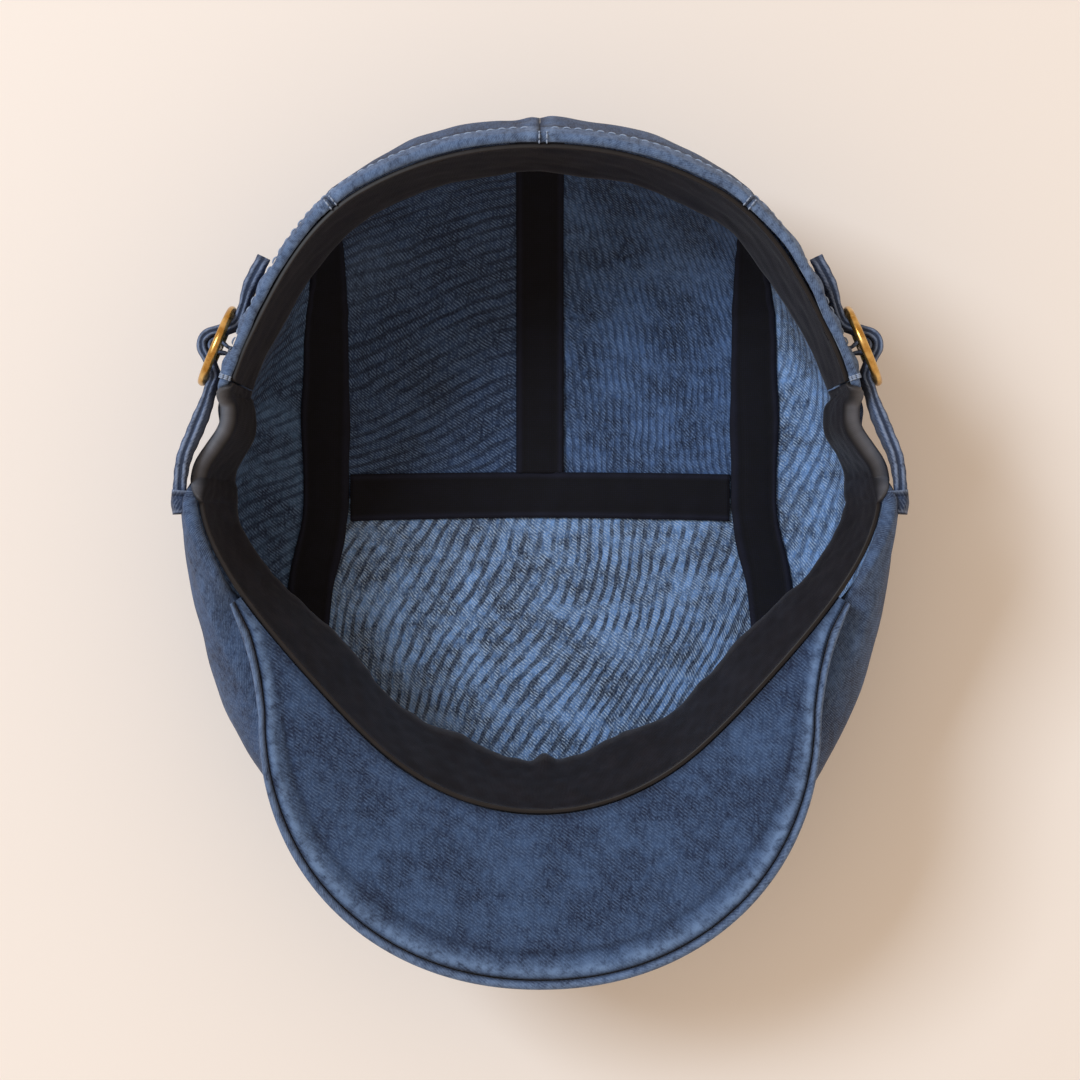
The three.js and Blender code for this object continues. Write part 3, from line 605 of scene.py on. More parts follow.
def crown_shell(name, places, sign, seed, outside, inside):
    """A panel of the crown as one closed shell of cloth with its hem folded over at the rim."""
    across, along = places[..., 0], places[..., 1]
    outer = crown_point(across, along)
    normal = crown_normal(across, along)
    cloth = cloth_coordinates(across, along)
    outset, depth, wear_and_highlight, crease_shade = crown_relief(places, outer, cloth, seed)
    outer_sheet = outer + normal * outset[..., None]
    inner_sheet = outer - normal * depth[..., None]
    rows = np.concatenate([outer_sheet, rim_fold(outer_sheet, inner_sheet), inner_sheet[::-1]])
    sections = rows.transpose(1, 0, 2) * (sign, 1, 1)

    def around(values, fold_values):
        both = np.concatenate([values, fold_values, values[::-1]])
        return both.transpose(1, 0, *range(2, values.ndim)).reshape(-1, *values.shape[2:])
    points = sections.reshape(-1, 3)
    faces = faces_out(points, loop_shell(sections))
    first_inner = outer.shape[0] + len(FOLD_ROWS) - 1
    is_inner = (faces % sections.shape[1] >= first_inner).all(axis=1)
    cloth = cloth * (sign, 1)
    uvs = around(cloth, cloth[-1:] + unit(cloth[-1:]) * FOLD_CLOTH_STEP * FOLD_ROWS)
    piece = make_mesh(f"{name}_cloth", points, faces, (outside, inside), uvs, is_inner.astype(int))
    for value_name, values in (("wear_and_highlight", wear_and_highlight), ("crease_shade", crease_shade)):
        add_values(piece, value_name, around(values, np.repeat(values[-1:], len(FOLD_ROWS), axis=0)))
    return finish_piece(piece, name)


def build_crown(materials):
    outside = materials["denim outside"]
    crown_shell("crown_front", front_places(rows_for(150), 110), 1, 11, outside, materials["inside front"])
    # Each back and side panel takes its own inside colours, darker at the back and on the left as painted
    # shade.
    for name, sign, seed in (("right", 1, 21), ("left", -1, 31)):
        places = back_places(rows_for(140), 60)
        crown_shell(f"crown_back_{name}", places, sign, seed, outside, materials[f"inside back {name}"])
        places = side_places(rows_for(90), 190)
        crown_shell(f"crown_side_{name}", places, sign, seed + 5, outside, materials[f"inside side {name}"])


# Seam tapes

def tape_piece(name, left, right, material, seed, sign=1):
    """A binding tape between two edges of places, laid on the inside of the crown."""
    across = 13
    share = np.linspace(0, 1, across)
    places = mix(left[:, None], right[:, None], share[None, :, None])
    base = crown_point(places[..., 0], places[..., 1])
    normal = crown_normal(places[..., 0], places[..., 1])
    length = arc_lengths(base.mean(axis=1))
    middle = np.abs(share - 0.5) * 2
    swell = 0.55 * (1 - middle ** 2) + 0.3 * bell(middle, 0.86, 0.1) - 0.3 * bell(middle, 0.68, 0.08)
    ripple = 0.25 * np.sin(TAU * length / 11 + seed) * (1 - middle).mean()
    edge_ripple = 0.22 * np.sin(TAU * length[:, None] / 9 + seed + 3 * share) * middle ** 2
    lift = CROWN_WALL + 0.1 + swell + edge_ripple + ripple[:, None]
    upper = base - normal * (lift + TAPE_THICKNESS)[..., None]
    lower = base - normal * (CROWN_WALL + 0.05)
    sections = np.concatenate([upper, lower[:, ::-1]], axis=1) * (sign, 1, 1)
    width = np.concatenate([share, share[::-1]]) * TAPE_WIDTH
    uvs = strip_uvs(length, width)[:, ::-1]
    edge = np.concatenate([middle, middle[::-1]])
    # The second value is painted shade in the groove near each edge of the tape.
    wear_and_highlight, crease_shade = bell(edge, 0.9, 0.12), bell(edge, 0.7, 0.06)
    return cloth_piece(name, sections, uvs, material, wear_and_highlight, crease_shade)


def build_tapes(materials):
    tape = materials["binding"]
    start = (TAPE_WIDTH / 2 + TAPE_GAP) / FLAT_BACK_SCALE
    along = np.linspace(start, TAPE_END, 150)
    step = 0.01
    scale = np.linalg.norm(crown_point(step, along) - crown_point(-step, along), axis=-1) / (2 * step)
    half = TAPE_WIDTH / 2 / scale
    left, right = np.stack([-half, along], -1), np.stack([half, along], -1)
    tape_piece("seam_tape_centre", left, right, tape, 1)

    reach = seam_place(0.0, -TAPE_WIDTH / 2 - TAPE_GAP)[0]
    across = np.linspace(-reach, reach, 90)
    bow = 0.012 * (1 - (across / reach) ** 2)
    front = np.stack([across, -TAPE_WIDTH / 2 / FLAT_FRONT_SCALE + bow * 0.6], -1)
    back = np.stack([across, TAPE_WIDTH / 2 / FLAT_BACK_SCALE + bow * 0.3], -1)
    tape_piece("seam_tape_cross", front, back, tape, 2)

    shares = np.linspace(TAPE_END, -0.8, 220)
    edges = [seam_place(shares, edge * TAPE_WIDTH / 2) for edge in (-1, 1)]
    for name, sign in (("right", 1), ("left", -1)):
        tape_piece(f"seam_tape_{name}", edges[0], edges[1], tape, 3 + sign, sign)


# Sweatband

def rim_place(angle):
    return np.cos(np.radians(angle)), np.sin(np.radians(angle))


def rim_point(angle):
    return crown_point(*rim_place(angle))


def rim_inward(angle):
    """Direction into the cap at the rim, level with the floor."""
    along = rim_point(angle + 0.5) - rim_point(angle - 0.5)
    return unit(np.stack([-along[..., 1], along[..., 0], 0 * along[..., 0]], axis=-1))


# side angle, how far the band's lower edge leans into the cap
BAND_LEANS = np.array([
    (-90, 13.0), (-50, 11.5), (-20, 8.5), (-4, 5.6), (4, 3.8), (10, 2.2), (15, 1.6), (20, 1.8), (40, 2.6),
    (60, 2.6), (90, 2.2),
])
LEAN_CURVE = table_curve(BAND_LEANS[:, 0], BAND_LEANS[:, 1])
ROLL_ROWS = 7
BAND_ROWS = 26


def side_of(angle):
    return np.degrees(np.arcsin(np.sin(np.radians(angle))))


def band_sheet(angle, length, notch, seed):
    """The middle of the band's cloth: over the rim in a notch, and down into the cap."""
    rim, inward = rim_point(angle), rim_inward(angle)
    wall = wall_at(*rim_place(angle))
    side = side_of(angle)
    up = np.array([0, 0, 1.0])
    roll_radius = wall / 2 + PIECE_GAP + BAND_THICKNESS / 2
    roll_centre = rim + inward * (wall / 2)[:, None]
    roll_centre[:, 2] += RIM_DROP * under_peak_share(side) - BAND_DROP * (1 - notch)
    rows = []
    for k in range(ROLL_ROWS):
        turn = mix(0.25, math.pi * 1.02, notch) * (1 - k / ROLL_ROWS)
        side_way = inward * (np.cos(turn) * roll_radius)[:, None]
        rows.append(roll_centre + side_way + up * (np.sin(turn) * roll_radius)[:, None])

    to_middle = unit(np.stack([-rim[:, 0], CROSS_SEAM_Y - rim[:, 1], 0 * angle], axis=-1))
    lean = LEAN_CURVE(side)
    front = smooth(0, 0.5, -np.sin(np.radians(angle)))
    for share in np.linspace(0, 1, BAND_ROWS):
        wave = BAND_WAVE * share * np.sin(np.radians(BAND_WAVES * angle)) * front
        folds = 1.15 * share ** 0.7 * wobble(length + 9 * share, 30 * share + 0 * length, 24, seed)
        folds = folds + 0.35 * wobble(length, 30 * share + 0 * length, 9, seed + 1)
        edge_wave = 1.5 * share ** 3 * wobble(length, 0 * length, 34, seed + 2)
        tuck = 2.6 * share ** 4 * bell(rim[:, 0], 1.5, 3.2) * front
        fall = np.sqrt(BAND_HEIGHT ** 2 - lean ** 2) * share
        point = roll_centre + inward * (roll_radius + folds * 0.55)[:, None]
        point = point + to_middle * (lean * share + wave + tuck)[:, None]
        point[:, 2] -= fall + wave * 0.5 + edge_wave + 0.4
        rows.append(point)
    return np.array(rows).transpose(1, 0, 2)


def sweatband(name, start, end, columns, material, seed):
    """A length of the dark band. Its upper edge rolls out over the rim in each notch."""
    angle = np.linspace(start, end, columns)
    side = side_of(angle)
    notch = smooth(NOTCH_FRONT - 1, NOTCH_FRONT + 3, side)
    notch = notch * (1 - smooth(NOTCH_BACK - 2, NOTCH_BACK + 0.5, side))
    length = arc_lengths(rim_point(angle))
    centre = band_sheet(angle, length, notch, seed)
    normal = unit(np.cross(np.gradient(centre, axis=0), np.gradient(centre, axis=1)))
    half = np.full(centre.shape[:2], BAND_THICKNESS / 2)
    for row, share in ((0, 0.45), (-1, 0.6), (-2, 1.25), (-3, 1.2)):
        half[:, row] *= share
    front_sheet = centre + normal * half[..., None]
    back_sheet = centre - normal * half[..., None]
    sections = np.concatenate([front_sheet, back_sheet[:, ::-1]], axis=1)
    depth = arc_lengths(centre[columns // 2])
    uvs = strip_uvs(length, np.concatenate([depth, depth[::-1]]))
    row = np.arange(len(depth))
    row = np.concatenate([row, row[::-1]])
    # Painted shade in the fold just under the band's roll.
    crease_shade = bell(row, ROLL_ROWS + 2.4, 0.7)
    # The lower edge is lighter from wear; the roll over the rim in each notch gets a painted highlight.
    wear_and_highlight = 0.2 * bell(row, len(depth) - 2, 1.3)[None] + notch[:, None] * bell(row, 1.6, 2.3)[None]
    return cloth_piece(name, sections, uvs, material, wear_and_highlight, crease_shade)


def build_sweatbands(materials):
    band = materials["sweatband"]
    join = NOTCH_BACK + 1
    sweatband("sweatband_back", join, 180 - join, 380, band, 41)
    sweatband("sweatband_front", -180 - join + BAND_END_GAP, join - BAND_END_GAP, 640, band, 51)


# Peak

RIM_LEVEL = CROWN_LEVELS[-1]
RIM_FRONT_REACH = RIM_LEVEL[5] * CROWN_FRONT_REACH - HEM_WALL
RIM_HALF_WIDTH = RIM_LEVEL[3] * CROWN_HALF_WIDTH - HEM_WALL


def peak_height(x, y):
    """Height of the peak's underside, which faces up here."""
    across = np.abs(x) / RIM_HALF_WIDTH
    ahead = np.maximum(0, CROSS_SEAM_Y - y) / RIM_FRONT_REACH
    scale = np.hypot(across, ahead)
    for _ in range(6):
        scale = np.hypot(across / egg_taper(RIM_LEVEL[8], ahead / scale), ahead)
    beyond = np.maximum(0, scale - 1)
    curl = PEAK_CURL * (x / PEAK_HALF_WIDTH) ** 2 * (1 - np.exp(-beyond / PEAK_CURL_REACH))
    return rim_height(y) + PEAK_RISE * beyond + curl


def peak_inner_edge(angle):
    return rim_point(angle) + rim_inward(angle) * HEM_WALL


def peak_outer_edge(share):
    side = np.where(share < 0.5, 1, -1)
    out = 2 * np.minimum(share, 1 - share)
    leg = PEAK_LEG_SHARE
    corner = peak_inner_edge(np.array([float(PEAK_CORNER)]))[0]
    round_start = CROSS_SEAM_Y - PEAK_ROUND_REACH
    t = np.clip(out / leg, 0, 1)
    leg_x = mix(corner[0] + PEAK_CORNER_OUT, PEAK_HALF_WIDTH, t) - PEAK_LEG_BOW * np.sin(math.pi * t)
    leg_y = mix(corner[1] - PEAK_CORNER_AHEAD, round_start, t)
    turn = np.clip((out - leg) / (1 - leg), 0, 1) * math.pi / 2
    x = PEAK_HALF_WIDTH * np.abs(np.cos(turn)) ** (2 / PEAK_SQUARENESS)
    y = round_start - (PEAK_TIP_REACH - PEAK_ROUND_REACH) * np.sin(turn) ** (2 / PEAK_SQUARENESS)
    on_leg = out < leg
    return np.stack([side * np.where(on_leg, leg_x, x), np.where(on_leg, leg_y, y), 0 * share], axis=-1)


def even_shares(columns):
    """Shares of the peak's outer edge that lie the same distance apart."""
    fine = np.linspace(0, 1, 2001)
    edge = peak_outer_edge(fine)
    arcs = arc_lengths(edge)
    shares = np.interp(np.linspace(0, arcs[-1], columns), arcs, fine)
    return shares, np.linspace(0, arcs[-1], columns)


def peak_frame(columns):
    shares, length = even_shares(columns)
    inner = peak_inner_edge(mix(PEAK_CORNER, -180 - PEAK_CORNER, shares))
    outer = peak_outer_edge(shares)
    inner[:, 2] = 0
    width = np.linalg.norm(outer - inner, axis=-1)
    lip = np.minimum(PEAK_LIP, 0.45 * width)
    return inner, outer, width, lip, length


def peak_underside(material):
    """The cloth that faces up, with the raised border that follows the peak's edge."""
    columns, rows = 420, 70
    inner, outer, width, lip, length = peak_frame(columns)
    t = np.linspace(0, 1, rows)
    distance = t[None] * (width - lip)[:, None]
    point = inner[:, None] + (outer - inner)[:, None] * (distance / width[:, None])[..., None]
    from_lip = (width - lip)[:, None] - distance
    border = 1 - smooth(PEAK_BORDER - 1.6, PEAK_BORDER + 0.4, from_lip)
    wide = smooth(10, 30, width)[:, None]
    ridge = bell(from_lip, 2.6, 2.0)
    relief = 0.3 * border * wide + 0.6 * ridge * (0.35 + 0.65 * wide)
    relief = relief - 0.9 * bell(from_lip, 0, 0.7) - 0.35 * bell(from_lip, PEAK_BORDER + 0.6, 1.2) * wide
    relief = relief + 0.3 * wobble(point[..., 0], point[..., 1], 34, 71)
    relief = relief + 0.1 * wobble(point[..., 0], point[..., 1], 9, 72)
    relief = relief - 0.4 * bell(distance, 0, 2.0)
    top = point.copy()
    top[..., 2] = peak_height(point[..., 0], point[..., 1]) + relief
    bottom = point.copy()
    bottom[..., 2] = peak_height(point[..., 0], point[..., 1]) - PEAK_UNDERSIDE
    sections = np.concatenate([top, bottom[:, ::-1]], axis=1)
    # Painted shade in the groove behind the lip, along the inset line at the border's inner side, and where
    # the peak meets the band.
    crease_shade = bell(from_lip, -0.1, 0.6) + 0.45 * bell(from_lip, PEAK_BORDER + 0.6, 1.0) * wide
    crease_shade = np.clip(crease_shade + 0.6 * bell(distance, 0, 1.6), 0, 1)
    speckle = 0.75 + 0.25 * wobble(length[:, None] + 0 * distance, from_lip, 13, 73)
    wear_and_highlight = np.clip((0.95 * bell(from_lip, 2.4, 1.7) + 0.2 * border * wide) * speckle, 0, 1)
    wear_and_highlight, crease_shade = (np.concatenate([values, values[:, ::-1]], axis=1) for values in (wear_and_highlight, crease_shade))
    uvs = sections.reshape(-1, 3)[:, :2] * MM
    return cloth_piece("peak_underside", sections, uvs, material, wear_and_highlight, crease_shade)


def peak_top(material):
    """The cloth that faces the floor, rolled up round the peak's edge."""
    columns = 420
    inner, outer, width, lip, length = peak_frame(columns)
    under = PEAK_UNDERSIDE + PIECE_GAP
    deep = under + PEAK_TOP
    rows = []
    for share in np.linspace(0, 1, 12):
        rows.append((share * (width - lip), np.full(columns, under)))
    rows.append((width - lip + 0.25, np.full(columns, 0.8)))
    middle_height = (0.45 - deep) / 2
    for turn in np.linspace(math.pi * 0.86, -math.pi * 0.5, 18):
        swell = 0.12 * np.sin(TAU * length / 17) + 0.1 * wobble(length, 0 * length, 23, 81)
        reach = width - lip * 0.5 + lip * 0.5 * math.cos(turn)
        rows.append((reach, -(middle_height + (deep + 0.45 + swell) / 2 * math.sin(turn))))
    for share in np.linspace(0.93, 0, 14):
        rows.append((share * (width - lip * 0.5), np.full(columns, deep)))
    rows.append((np.full(columns, 0.01), np.full(columns, (under + deep) / 2)))
    distance = np.array([row[0] for row in rows]).T
    drop = np.array([row[1] for row in rows]).T
    sections = inner[:, None] + (outer - inner)[:, None] * (distance / width[:, None])[..., None]
    sections[..., 2] = peak_height(sections[..., 0], sections[..., 1]) - drop
    uvs = strip_uvs(length, arc_lengths(sections[columns // 2]))
    edge = distance - (width - lip)[:, None]
    # The second value is painted shade where the cloth starts to roll round the edge.
    wear_and_highlight, crease_shade = smooth(0, 1.0, edge) * 0.5, bell(edge, 0, 0.6)
    return cloth_piece("peak_top", sections, uvs, material, wear_and_highlight, crease_shade)


# Adjusters

def buckle_frame():
    place = np.array([float(BUCKLE_ANGLE)])
    outward = -rim_inward(place)[0]
    centre = rim_point(place)[0] + outward * BUCKLE_STAND_OFF
    centre[2] -= BUCKLE_DROP
    backward = np.array([-outward[1], outward[0], 0])
    return centre, outward, backward


def catmull_rom(points, shares):
    """Points on a smooth curve through the given ones."""
    points = np.asarray(points, float)
    padded = np.vstack([2 * points[0] - points[1], points, 2 * points[-1] - points[-2]])
    gaps = np.linalg.norm(np.diff(padded, axis=0), axis=-1) ** 0.5
    knots = np.concatenate([[0], np.cumsum(gaps)])
    at = np.interp(shares * (len(points) - 1), np.arange(len(points)), knots[1:-1])
    i = np.clip(np.searchsorted(knots, at, side="right") - 1, 1, len(points) - 1)
    t = at[:, None]
    k = [knots[i + j][:, None] for j in (-1, 0, 1, 2)]
    p = [padded[i + j] for j in (-1, 0, 1, 2)]
    a = [((k[j + 1] - t) * p[j] + (t - k[j]) * p[j + 1]) / (k[j + 1] - k[j]) for j in range(3)]
    b = [((k[j + 2] - t) * a[j] + (t - k[j]) * a[j + 1]) / (k[j + 2] - k[j]) for j in range(2)]
    return ((k[2] - t) * b[0] + (t - k[1]) * b[1]) / (k[2] - k[1])


def strap_edges():
    """The upper and lower edge of the right strap as points at its stations."""
    centre, outward, backward = buckle_frame()
    under = BUCKLE_WIRE / 2 + PIECE_GAP + STRAP_THICKNESS / 2
    over = BUCKLE_BAR / 2 + 2 * PIECE_GAP + KEEPER_WALL + STRAP_THICKNESS / 2
    stations = []
    for overlap in (1, 0.5, 0):
        angle = np.array([NOTCH_FRONT - overlap * STRAP_HEM_OVERLAP])
        place = np.array(rim_place(angle))[:, 0]
        top = crown_point(*place)
        away = -rim_inward(angle)[0]
        low = crown_point(*(place * 0.92))
        lean = float((low - top) @ away)
        middle = top + away * (lean / 2 + PIECE_GAP + STRAP_THICKNESS / 2 + STRAP_STAND_OFF)
        stations.append((middle - (0, 0, STRAP_DROP), away, lean))
    for along, weave, lean in STRAP_ROUTE:
        offset = weave * (under if weave < 0 else over)
        middle = centre + backward * along * BUCKLE_RADIUS + outward * offset
        stations.append((middle + (0, 0, 0.6 * max(0, along - 1)), outward, lean))
    up = np.array([0, 0, STRAP_WIDTH / 2])
    top = [middle - away * lean / 2 + up for middle, away, lean in stations]
    bottom = [middle + away * lean / 2 - up for middle, away, lean in stations]
    return np.array(top), np.array(bottom)


def strap_sections(count):
    """Middle, half width, thickness direction and distance along the right strap."""
    top_stations, bottom_stations = strap_edges()
    shares = np.linspace(0, 1, count)
    top, bottom = catmull_rom(top_stations, shares), catmull_rom(bottom_stations, shares)
    middle = (top + bottom) / 2
    half = (top - bottom) / 2
    thick = unit(np.cross(unit(np.gradient(middle, axis=0)), unit(half)))
    return middle, half, thick, arc_lengths(middle)


def strap(name, sign, material):
    """The folded strap: two plies that meet in a groove along its upper edge."""
    middle, half, thick, length = (a[STRAP_HIDDEN_STATIONS:] for a in strap_sections(STRAP_STATIONS))
    left = length[-1] - length
    tip = np.clip((STRAP_WIDTH / 2 - left) / (STRAP_WIDTH / 2), 0, 1)
    narrow = np.sqrt(1 - 0.95 * tip ** 2)
    steps = 64
    turn = TAU * (np.arange(steps) + 0.5) / steps
    across, through = squared(np.cos(turn), 0.28), squared(np.sin(turn), 0.55)
    across = across * (1 - 0.16 * bell(through, 0, 0.24) * (np.abs(across) > 0.7))
    centre, _, backward = buckle_frame()
    from_bar = np.abs((middle - centre) @ backward) / BUCKLE_RADIUS
    ply = mix(PLY_PINCHED, PLY, smooth(1.2, 1.9, from_bar)) * (1 + 0.04 * np.sin(TAU * length / 4.2))
    sections = middle[:, None] + half[:, None] * (across[None] * narrow[:, None])[..., None]
    sections = (sections + thick[:, None] * (through[None] * ply[:, None])[..., None]) * (sign, 1, 1)
    uvs = strip_uvs(length, arc_lengths(sections[len(length) // 2]))
    edge = np.abs(across)
    # Painted shade in the groove where the two plies meet.
    groove = bell(through, 0, 0.22) * (edge > 0.7)
    wear_and_highlight = 0.8 * smooth(0.9, 1.0, edge) * (1 - groove)
    return cloth_piece(name, sections, uvs, material, wear_and_highlight, groove)


def buckle(name, sign, material):
    """A round slide of bent wire with a bar across it."""
    centre, away, backward = buckle_frame()
    up = np.array([0, 0, math.cos(BUCKLE_TILT)]) - away * math.sin(BUCKLE_TILT)
    outward = np.cross(backward, up)
    outward = outward * np.sign(outward @ away)
    turn = np.linspace(0, TAU, 97)[:-1]
    wire = np.linspace(0, TAU, 21)[:-1]
    radial = backward * np.cos(turn)[:, None] + up * np.sin(turn)[:, None]
    ring = centre + radial * BUCKLE_RADIUS
    tube = ring[:, None] + radial[:, None] * (np.cos(wire) * BUCKLE_WIRE / 2)[None, :, None]
    tube = tube + outward * (np.sin(wire) * BUCKLE_WIRE / 2)[None, :, None]
    rows, around = tube.shape[:2]
    s, k = np.meshgrid(np.arange(rows), np.arange(around), indexing="ij")
    a = s * around + k
    b = s * around + (k + 1) % around
    c = (s + 1) % rows * around
    ring_faces = np.stack([a, b, c + (k + 1) % around, c + k], axis=-1).reshape(-1, 4)
    ring_points = tube.reshape(-1, 3) * (sign, 1, 1)
    ring_faces = faces_out(ring_points, ring_faces)
    ends = np.array([-1, 1]) * BUCKLE_RADIUS
    round_bar = backward * np.cos(wire)[:, None] + outward * np.sin(wire)[:, None]
    bar = (centre + up * ends[:, None])[:, None] + round_bar[None] * BUCKLE_BAR / 2
    bar_points = bar.reshape(-1, 3) * (sign, 1, 1)
    bar_faces = faces_out(bar_points, loop_shell(bar))
    points = np.vstack([ring_points, bar_points])
    faces = np.vstack([ring_faces, bar_faces + len(ring_points)])
    return finish_piece(make_mesh(f"{name}_look", points, faces, (material,)), name)


def keeper(name, sign, material):
    """The denim tab that loops round the buckle's bar and goes back to the hem."""
    centre, outward, backward = buckle_frame()
    radius = BUCKLE_BAR / 2 + PIECE_GAP + KEEPER_WALL / 2
    hem = rim_point(np.array([float(BUCKLE_ANGLE)]))[0]
    reach = BUCKLE_STAND_OFF - 1.1
    path = [(-1.0, -reach), (-0.95, -reach * 0.6), (-radius * 0.9, -radius * 0.6)]
    for turn in np.linspace(math.radians(200), math.radians(-20), 12):
        path.append((radius * math.cos(turn), radius * math.sin(turn)))
    path += [(radius * 0.9, -radius * 0.6), (0.95, -reach * 0.6), (1.0, -reach)]
    line = catmull_rom(np.array([(a, b, 0) for a, b in path]), np.linspace(0, 1, 60))
    flow = unit(np.gradient(line, axis=0))
    side_way = np.stack([-flow[:, 1], flow[:, 0], 0 * flow[:, 0]], axis=-1)
    turn = TAU * (np.arange(24) + 0.5) / 24
    upright = squared(np.cos(turn), 0.3) * KEEPER_WIDTH / 2
    through = squared(np.sin(turn), 0.5) * KEEPER_WALL / 2
    flat = line[:, None] + side_way[:, None] * through[None, :, None]
    sections = centre + flat[..., 0:1] * backward + flat[..., 1:2] * outward
    sections = (sections + upright[None, :, None] * np.array([0, 0, 1.0])) * (sign, 1, 1)
    uvs = strip_uvs(arc_lengths(line), upright)
    wear_and_highlight = 0.6 * smooth(0.85, 1, np.abs(upright) * 2 / KEEPER_WIDTH)
    return cloth_piece(name, sections, uvs, material, wear_and_highlight, 0.0)


def hem_sleeve(name, sign, material):
    """The folded end of the front hem that the strap comes out of."""
    middle, half, thick, _ = strap_sections(STRAP_STATIONS)
    chosen = np.nonzero((middle[:, 1] > SLEEVE_START_Y) & (middle[:, 1] < SLEEVE_END_Y))[0]
    rows = np.linspace(chosen[0], chosen[-1], 30)
    stations = np.arange(STRAP_STATIONS)

    def along(line):
        return np.stack([np.interp(rows, stations, line[:, k]) for k in range(3)], axis=-1)
    end = np.linspace(0, 1, 30)
    outward = -rim_inward(np.array([float(NOTCH_FRONT)]))[0]
    sunk = 0.6 * (1 - smooth(0, 0.6, end)) + 1.5
    swell = 1 + 0.06 * bell(end, 1, 0.08) - 0.05 * bell(end, 0.88, 0.05)
    upright = along(half) * (1.16 * swell * mix(0.9, 1, smooth(0, 0.3, end)))[:, None]
    centre = along(middle) + (0, 0, 0.9) - outward * sunk[:, None]
    turn = TAU * (np.arange(40) + 0.5) / 40
    across, through = squared(np.cos(turn), 0.3), squared(np.sin(turn), 0.6) * SLEEVE_THICKNESS / 2
    sections = centre[:, None] + upright[:, None] * across[None, :, None]
    sections = (sections + unit(along(thick))[:, None] * through[None, :, None]) * (sign, 1, 1)
    uvs = strip_uvs(arc_lengths(centre), arc_lengths(sections[len(sections) // 2]))
    wear_and_highlight = np.clip(0.9 * bell(end, 1, 0.06) + 0.5 * bell(end, 0.1, 0.06), 0, 1)
    # Painted shade in the fold lines at both ends of the sleeve.
    crease_shade = np.clip(bell(end, 0.86, 0.04) + bell(end, 0.0, 0.03), 0, 1)
    return cloth_piece(name, sections, uvs, material, wear_and_highlight[:, None], crease_shade[:, None], False)


# Stitches

def thread_line(points, normals, stitch, gap, radius):
    """A row of stitches as short rounded threads that dip into the cloth at both ends."""
    length = arc_lengths(points)
    count = max(1, int(length[-1] / (stitch + gap)))
    around, rows = 8, 7
    turn = TAU * np.arange(around) / around
    all_points, all_faces = [], []
    for k in range(count):
        first = k * (stitch + gap)
        at = np.linspace(first, first + stitch, rows)
        line = np.stack([np.interp(at, length, points[:, j]) for j in range(3)], axis=-1)
        normal = unit(np.stack([np.interp(at, length, normals[:, j]) for j in range(3)], axis=-1))
        share = np.linspace(-1, 1, rows)
        line = line + normal * (radius * (0.75 - 1.1 * share ** 2))[:, None]
        flow = unit(np.gradient(line, axis=0))
        side_way = unit(np.cross(flow, normal))
        fat = radius * np.sqrt(1 - 0.75 * share ** 4)
        ring = normal[:, None] * np.sin(turn)[:, None] + side_way[:, None] * np.cos(turn)[:, None]
        section = line[:, None] + ring * fat[:, None, None]
        flat = section.reshape(-1, 3)
        faces = faces_out(flat, loop_shell(section))
        all_faces.append(faces + len(all_points) * len(flat))
        all_points.append(flat)
    return np.vstack(all_points), np.vstack(all_faces)


def stitches(name, lines, material, stitch=2.3, gap=0.9, radius=0.26):
    """Rows of stitches in one piece. Each line is its points and the cloth's normals there."""
    points, faces, start = [], [], 0
    for line_points, normals in lines:
        line_points, line_faces = thread_line(line_points, normals, stitch, gap, radius)
        points.append(line_points)
        faces.append(line_faces + start)
        start += len(line_points)
    piece = make_mesh(f"{name}_look", np.vstack(points), np.vstack(faces), (material,))
    return finish_piece(piece, name, False)


def both_sides(lines):
    flip = np.array([-1, 1, 1])
    return lines + [(points * flip, normals * flip) for points, normals in lines]


def hem_line(first, last, lift):
    """A line on the crown's outside at the hem's stitches, between two angles, lifted off it."""
    angle = np.radians(np.linspace(first, last, int(abs(last - first) * 3) + 2))
    run = 1 - (HEM_DEPTH - HEM_STITCH_IN) / CLOTH_PER_RUN
    across, along = run * np.cos(angle), run * np.sin(angle)
    normal = crown_normal(across, along)
    return crown_point(across, along) + normal * lift, normal


def over_rim(angle, shift, inner_depth, outer_depth):
    """A line over the hem's top from its inside to its outside, at an angle from the right."""
    turn = np.linspace(0, math.pi, 14)
    place = np.full(14, float(angle))
    rim, inward = rim_point(place), rim_inward(place)
    wall = wall_at(*rim_place(place))
    along = np.stack([-inward[:, 1], inward[:, 0], 0 * place], axis=-1)
    centre = rim + inward * (wall / 2 - 0.15)[:, None] + along * shift
    radius = wall / 2 + 0.28
    up = np.array([0, 0, 1.0])
    out = inward * (np.cos(turn) * radius)[:, None] + up * (np.sin(turn) * radius * 0.85)[:, None]
    line = centre + out
    line[0, 2] -= inner_depth
    line[-1, 2] -= outer_depth
    return line, unit(out)


def build_stitches(materials):
    thread = materials["thread"]
    stitches("hem_stitches_back", both_sides([hem_line(NOTCH_BACK + 1, 89.6, 0.35)]), thread)
    seams = [over_rim(90, shift, 0.5, 3.5) for shift in (-0.2, 1.9)]
    side_seam = math.degrees(SEAM_RIM_ANGLE)
    seams += both_sides([over_rim(side_seam, shift, 0.5, 3.5) for shift in (-0.9, 0.9)])
    stitches("seam_stitches_rim", seams, thread, 1.6, 0.35, 0.24)
    tacks = both_sides([over_rim(NOTCH_BACK + 1.2, shift, 0.2, 1.2) for shift in (-0.45, 0, 0.45)])
    stitches("bar_tacks_rim", tacks, thread, 1.2, 0.1, 0.24)


def build_adjusters(materials):
    for side, sign in (("right", 1), ("left", -1)):
        strap(f"strap_{side}", sign, materials["denim strap"])
        buckle(f"buckle_{side}", sign, materials["brass"])
        keeper(f"keeper_{side}", sign, materials["denim strap"])
        hem_sleeve(f"hem_sleeve_{side}", sign, materials["denim strap"])


# Materials

